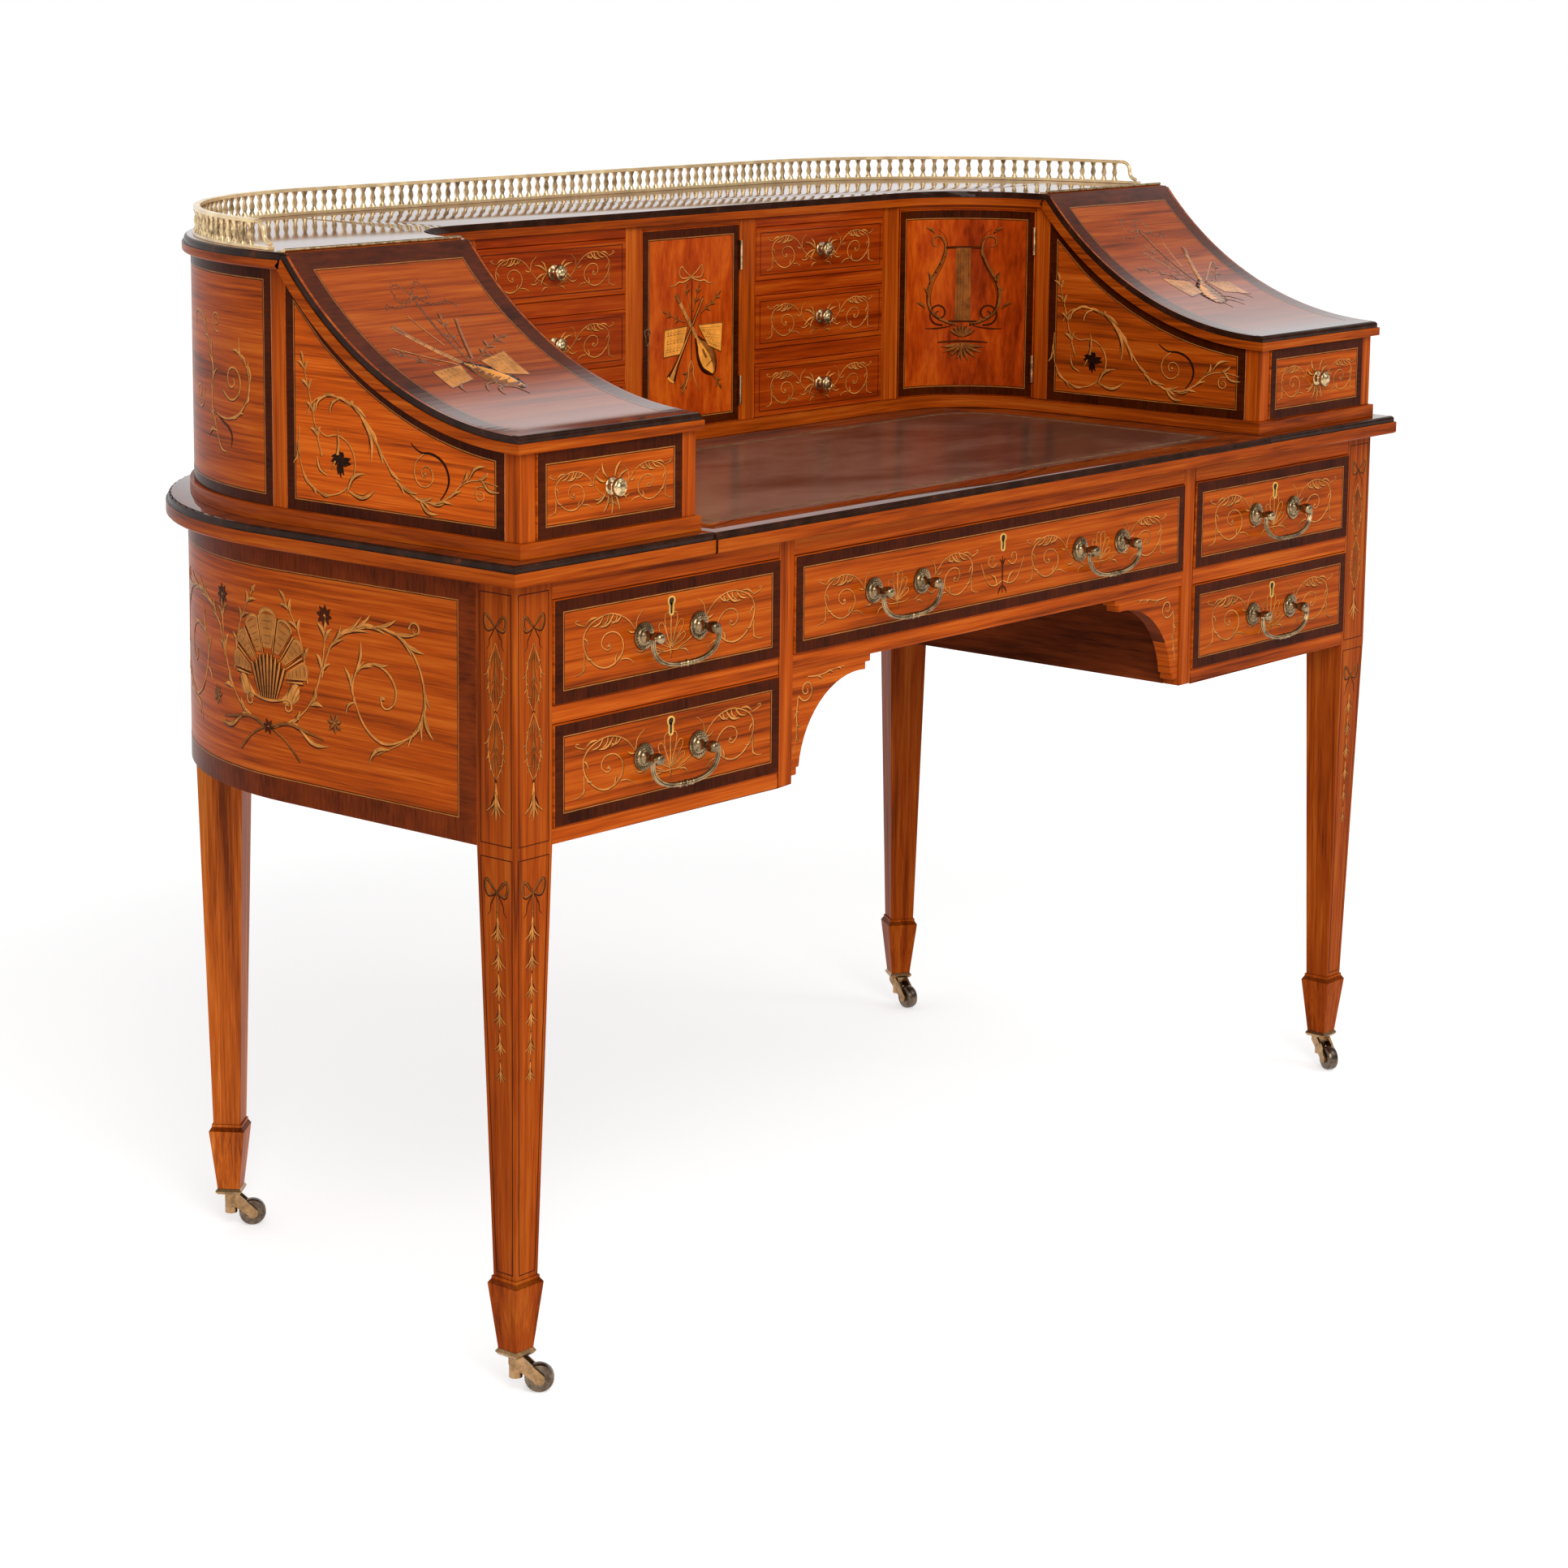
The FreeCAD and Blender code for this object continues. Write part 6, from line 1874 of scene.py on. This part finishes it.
class DESK_OT_gallery(bpy.types.Operator):
    """Pierced gallery round the top"""
    bl_idname = "desk.gallery"
    bl_label = "Gallery"

    def execute(self, context):
        # The rails' brass is a lightened copy of the bright brass: painted light.
        softened("gallery_rails", ["rail_brass"], edge=0.4)
        turned = []
        for low, high in islands("gallery_spindles"):
            tall = high.z - low.z
            baluster = spun([(0, 0), (3.4, 0), (3.0, 0.08), (1.7, 0.22), (3.1, 0.45), (1.6, 0.74),
                             (3.2, 0.95), (3.4, 1.0), (0, 1.0)], 6)
            place = Matrix.Translation(((low.x + high.x) / 2, (low.y + high.y) / 2, low.z))
            place = place @ Matrix.Diagonal((0.001, 0.001, tall, 1))
            bmesh.ops.transform(baluster, matrix=place, verts=baluster.verts[:])
            turned.append(baluster)
        add_piece("gallery_balusters", joined(turned), ["dull_brass"], "desk", 70,
                  "gallery_spindles")
        return {"FINISHED"}


class DESK_OT_casters(bpy.types.Operator):
    """Caster plates, forks and wheels"""
    bl_idname = "desk.casters"
    bl_label = "Casters"

    def execute(self, context):
        softened("caster_plates", ["caster_brass"], edge=0.5)
        for foot in ("front_left", "front_right", "back_left", "back_right"):
            softened("caster_fork_" + foot, ["caster_brass"], edge=0.5)
            softened("caster_wheel_" + foot, ["wheel_brass"], edge=0.5)
        return {"FINISHED"}


class DESK_OT_hinges(bpy.types.Operator):
    """Hinges of the doors and lids"""
    bl_idname = "desk.hinges"
    bl_label = "Hinges"

    def execute(self, context):
        softened("hinges", ["bright_brass"], edge=0)
        return {"FINISHED"}


class DESK_OT_studio(bpy.types.Operator):
    """Floor, soft light and camera"""
    bl_idname = "desk.studio"
    bl_label = "Studio"

    def execute(self, context):
        scene = context.scene
        settings = scene.desk_studio
        bm = bmesh.new()
        bmesh.ops.create_grid(bm, x_segments=1, y_segments=1, size=FLOOR_HALF)
        mesh = bpy.data.meshes.new("floor")
        bm.to_mesh(mesh)
        bm.free()
        floor = bpy.data.objects.new("floor", mesh)
        scene.collection.objects.link(floor)
        mesh.materials.append(self.floor_paint(settings))
        self.lamp("key", settings.key, *KEY_LAMP)
        self.lamp("fill", settings.fill, *FILL_LAMP)
        self.sky(scene, settings)
        data = bpy.data.cameras.new("camera")
        data.lens = settings.lens
        data.sensor_width = 36.0
        data.shift_y = CAMERA_SHIFT
        data.clip_end = 100.0
        camera = bpy.data.objects.new("camera", data)
        camera.location = CAMERA_PLACE
        turn = Matrix.Identity(4)
        for degrees, axis in ((CAMERA_HEADING, "Z"), (90 - CAMERA_DIP, "X"), (CAMERA_ROLL, "Z")):
            turn = turn @ Matrix.Rotation(math.radians(degrees), 4, axis)
        camera.rotation_euler = turn.to_euler()
        scene.collection.objects.link(camera)
        scene.camera = camera
        scene.view_settings.view_transform = "Standard"
        return {"FINISHED"}

    @staticmethod
    def floor_paint(settings):
        """Pale floor that glows to white away from the desk, in the picture and reflections alone."""
        material, surface, place = blank("floor", {"Roughness": 0.9, "Specular IOR Level": 0.1})
        drift = place.stretched((1.5, 1.5, 1.5)).noise(2.0, 0.5)
        tint = settings.floor
        drift.ramp([(0.3, tinted(tint, 0.985)), (0.7, tint)]).feed(surface, "Base Color")
        surface.inputs["Emission Strength"].default_value = settings.glow
        camera, glossy, through = DESK_OT_studio.rays(material.node_tree)
        seen = camera.sum("MAXIMUM", camera, glossy.sum("MAXIMUM", glossy, through))
        reach = place.node("ShaderNodeVectorMath", {"operation": "LENGTH"}, {0: place}, "Value")
        lift = reach.between(*FLOOR_LIFT).blend((NEAR_FLOOR, NEAR_FLOOR, NEAR_FLOOR, 1), WHITE)
        seen.blend(BLACK, lift).feed(surface, "Emission Color")
        return material

    @staticmethod
    def rays(tree):
        """1 for what the camera, a reflection or a clear piece looks at, each as one output."""
        path = tree.nodes.new("ShaderNodeLightPath")
        kinds = ("Is Camera Ray", "Is Glossy Ray", "Is Transmission Ray")
        return [Shade(tree, path.outputs[kind]) for kind in kinds]

    @staticmethod
    def lamp(name, power, size, place):
        data = bpy.data.lights.new(name, "AREA")
        data.shape = "SQUARE"
        data.size = size
        data.energy = power
        lamp = bpy.data.objects.new(name, data)
        lamp.location = place
        lamp.rotation_euler = (Vector(LAMP_AIM) - Vector(place)).to_track_quat("-Z", "Y").to_euler()
        bpy.context.scene.collection.objects.link(lamp)

    @staticmethod
    def sky(scene, settings):
        """White to the camera; reflections see a white backdrop, and a dim room before and above it."""
        world = bpy.data.worlds.new("studio")
        world.use_nodes = True
        scene.world = world
        tree = world.node_tree
        way = Shade(tree).node("ShaderNodeTexCoord", output="Generated")
        rise = way.along((0, 0, 1))
        ahead = way.along((0, 1, 0))
        backdrop = (1.0 - rise.between(0.46, 0.58)) * ahead.between(-0.50, -0.25)
        room = backdrop.blend((settings.room, settings.room, settings.room, 1), WHITE)
        even = (settings.sky, settings.sky, settings.sky, 1)
        camera, glossy, through = DESK_OT_studio.rays(tree)
        mirrored = glossy.sum("MAXIMUM", glossy, through)
        camera.blend(mirrored.blend(even, room), WHITE).feed(tree.nodes["Background"], "Color")


class DESK_PT_panel(bpy.types.Panel):
    """Lists the pieces of the desk in the order they are made"""
    bl_idname = "DESK_PT_panel"
    bl_label = "Carlton house desk"
    bl_space_type = "VIEW_3D"
    bl_region_type = "UI"
    bl_category = "Desk"

    def draw(self, context):
        for operator in OPERATORS:
            self.layout.operator(operator.bl_idname)
        for group in SETTINGS:
            settings = getattr(context.scene, group)
            box = self.layout.box()
            for name in settings.__annotations__:
                box.prop(settings, name)


SETTINGS = {"desk_wood": WoodSettings, "desk_inlay": InlaySettings, "desk_brass": BrassSettings,
            "desk_leather": LeatherSettings, "desk_studio": StudioSettings}
OPERATORS = (DESK_OT_carcass, DESK_OT_tops, DESK_OT_leather, DESK_OT_stage, DESK_OT_lids, DESK_OT_doors,
             DESK_OT_drawers, DESK_OT_banding, DESK_OT_marquetry, DESK_OT_handles, DESK_OT_knobs,
             DESK_OT_gallery, DESK_OT_casters, DESK_OT_hinges, DESK_OT_studio)


def register():
    for name, group in SETTINGS.items():
        bpy.utils.register_class(group)
        setattr(bpy.types.Scene, name, PointerProperty(type=group))
    for operator in OPERATORS:
        bpy.utils.register_class(operator)
    bpy.utils.register_class(DESK_PT_panel)


def unregister():
    bpy.utils.unregister_class(DESK_PT_panel)
    for operator in reversed(OPERATORS):
        bpy.utils.unregister_class(operator)
    for name, group in SETTINGS.items():
        delattr(bpy.types.Scene, name)
        bpy.utils.unregister_class(group)


def main():
    register()
    for operator in OPERATORS:
        group, name = operator.bl_idname.split(".")
        getattr(getattr(bpy.ops, group), name)()


if __name__ == "__main__":
    main()
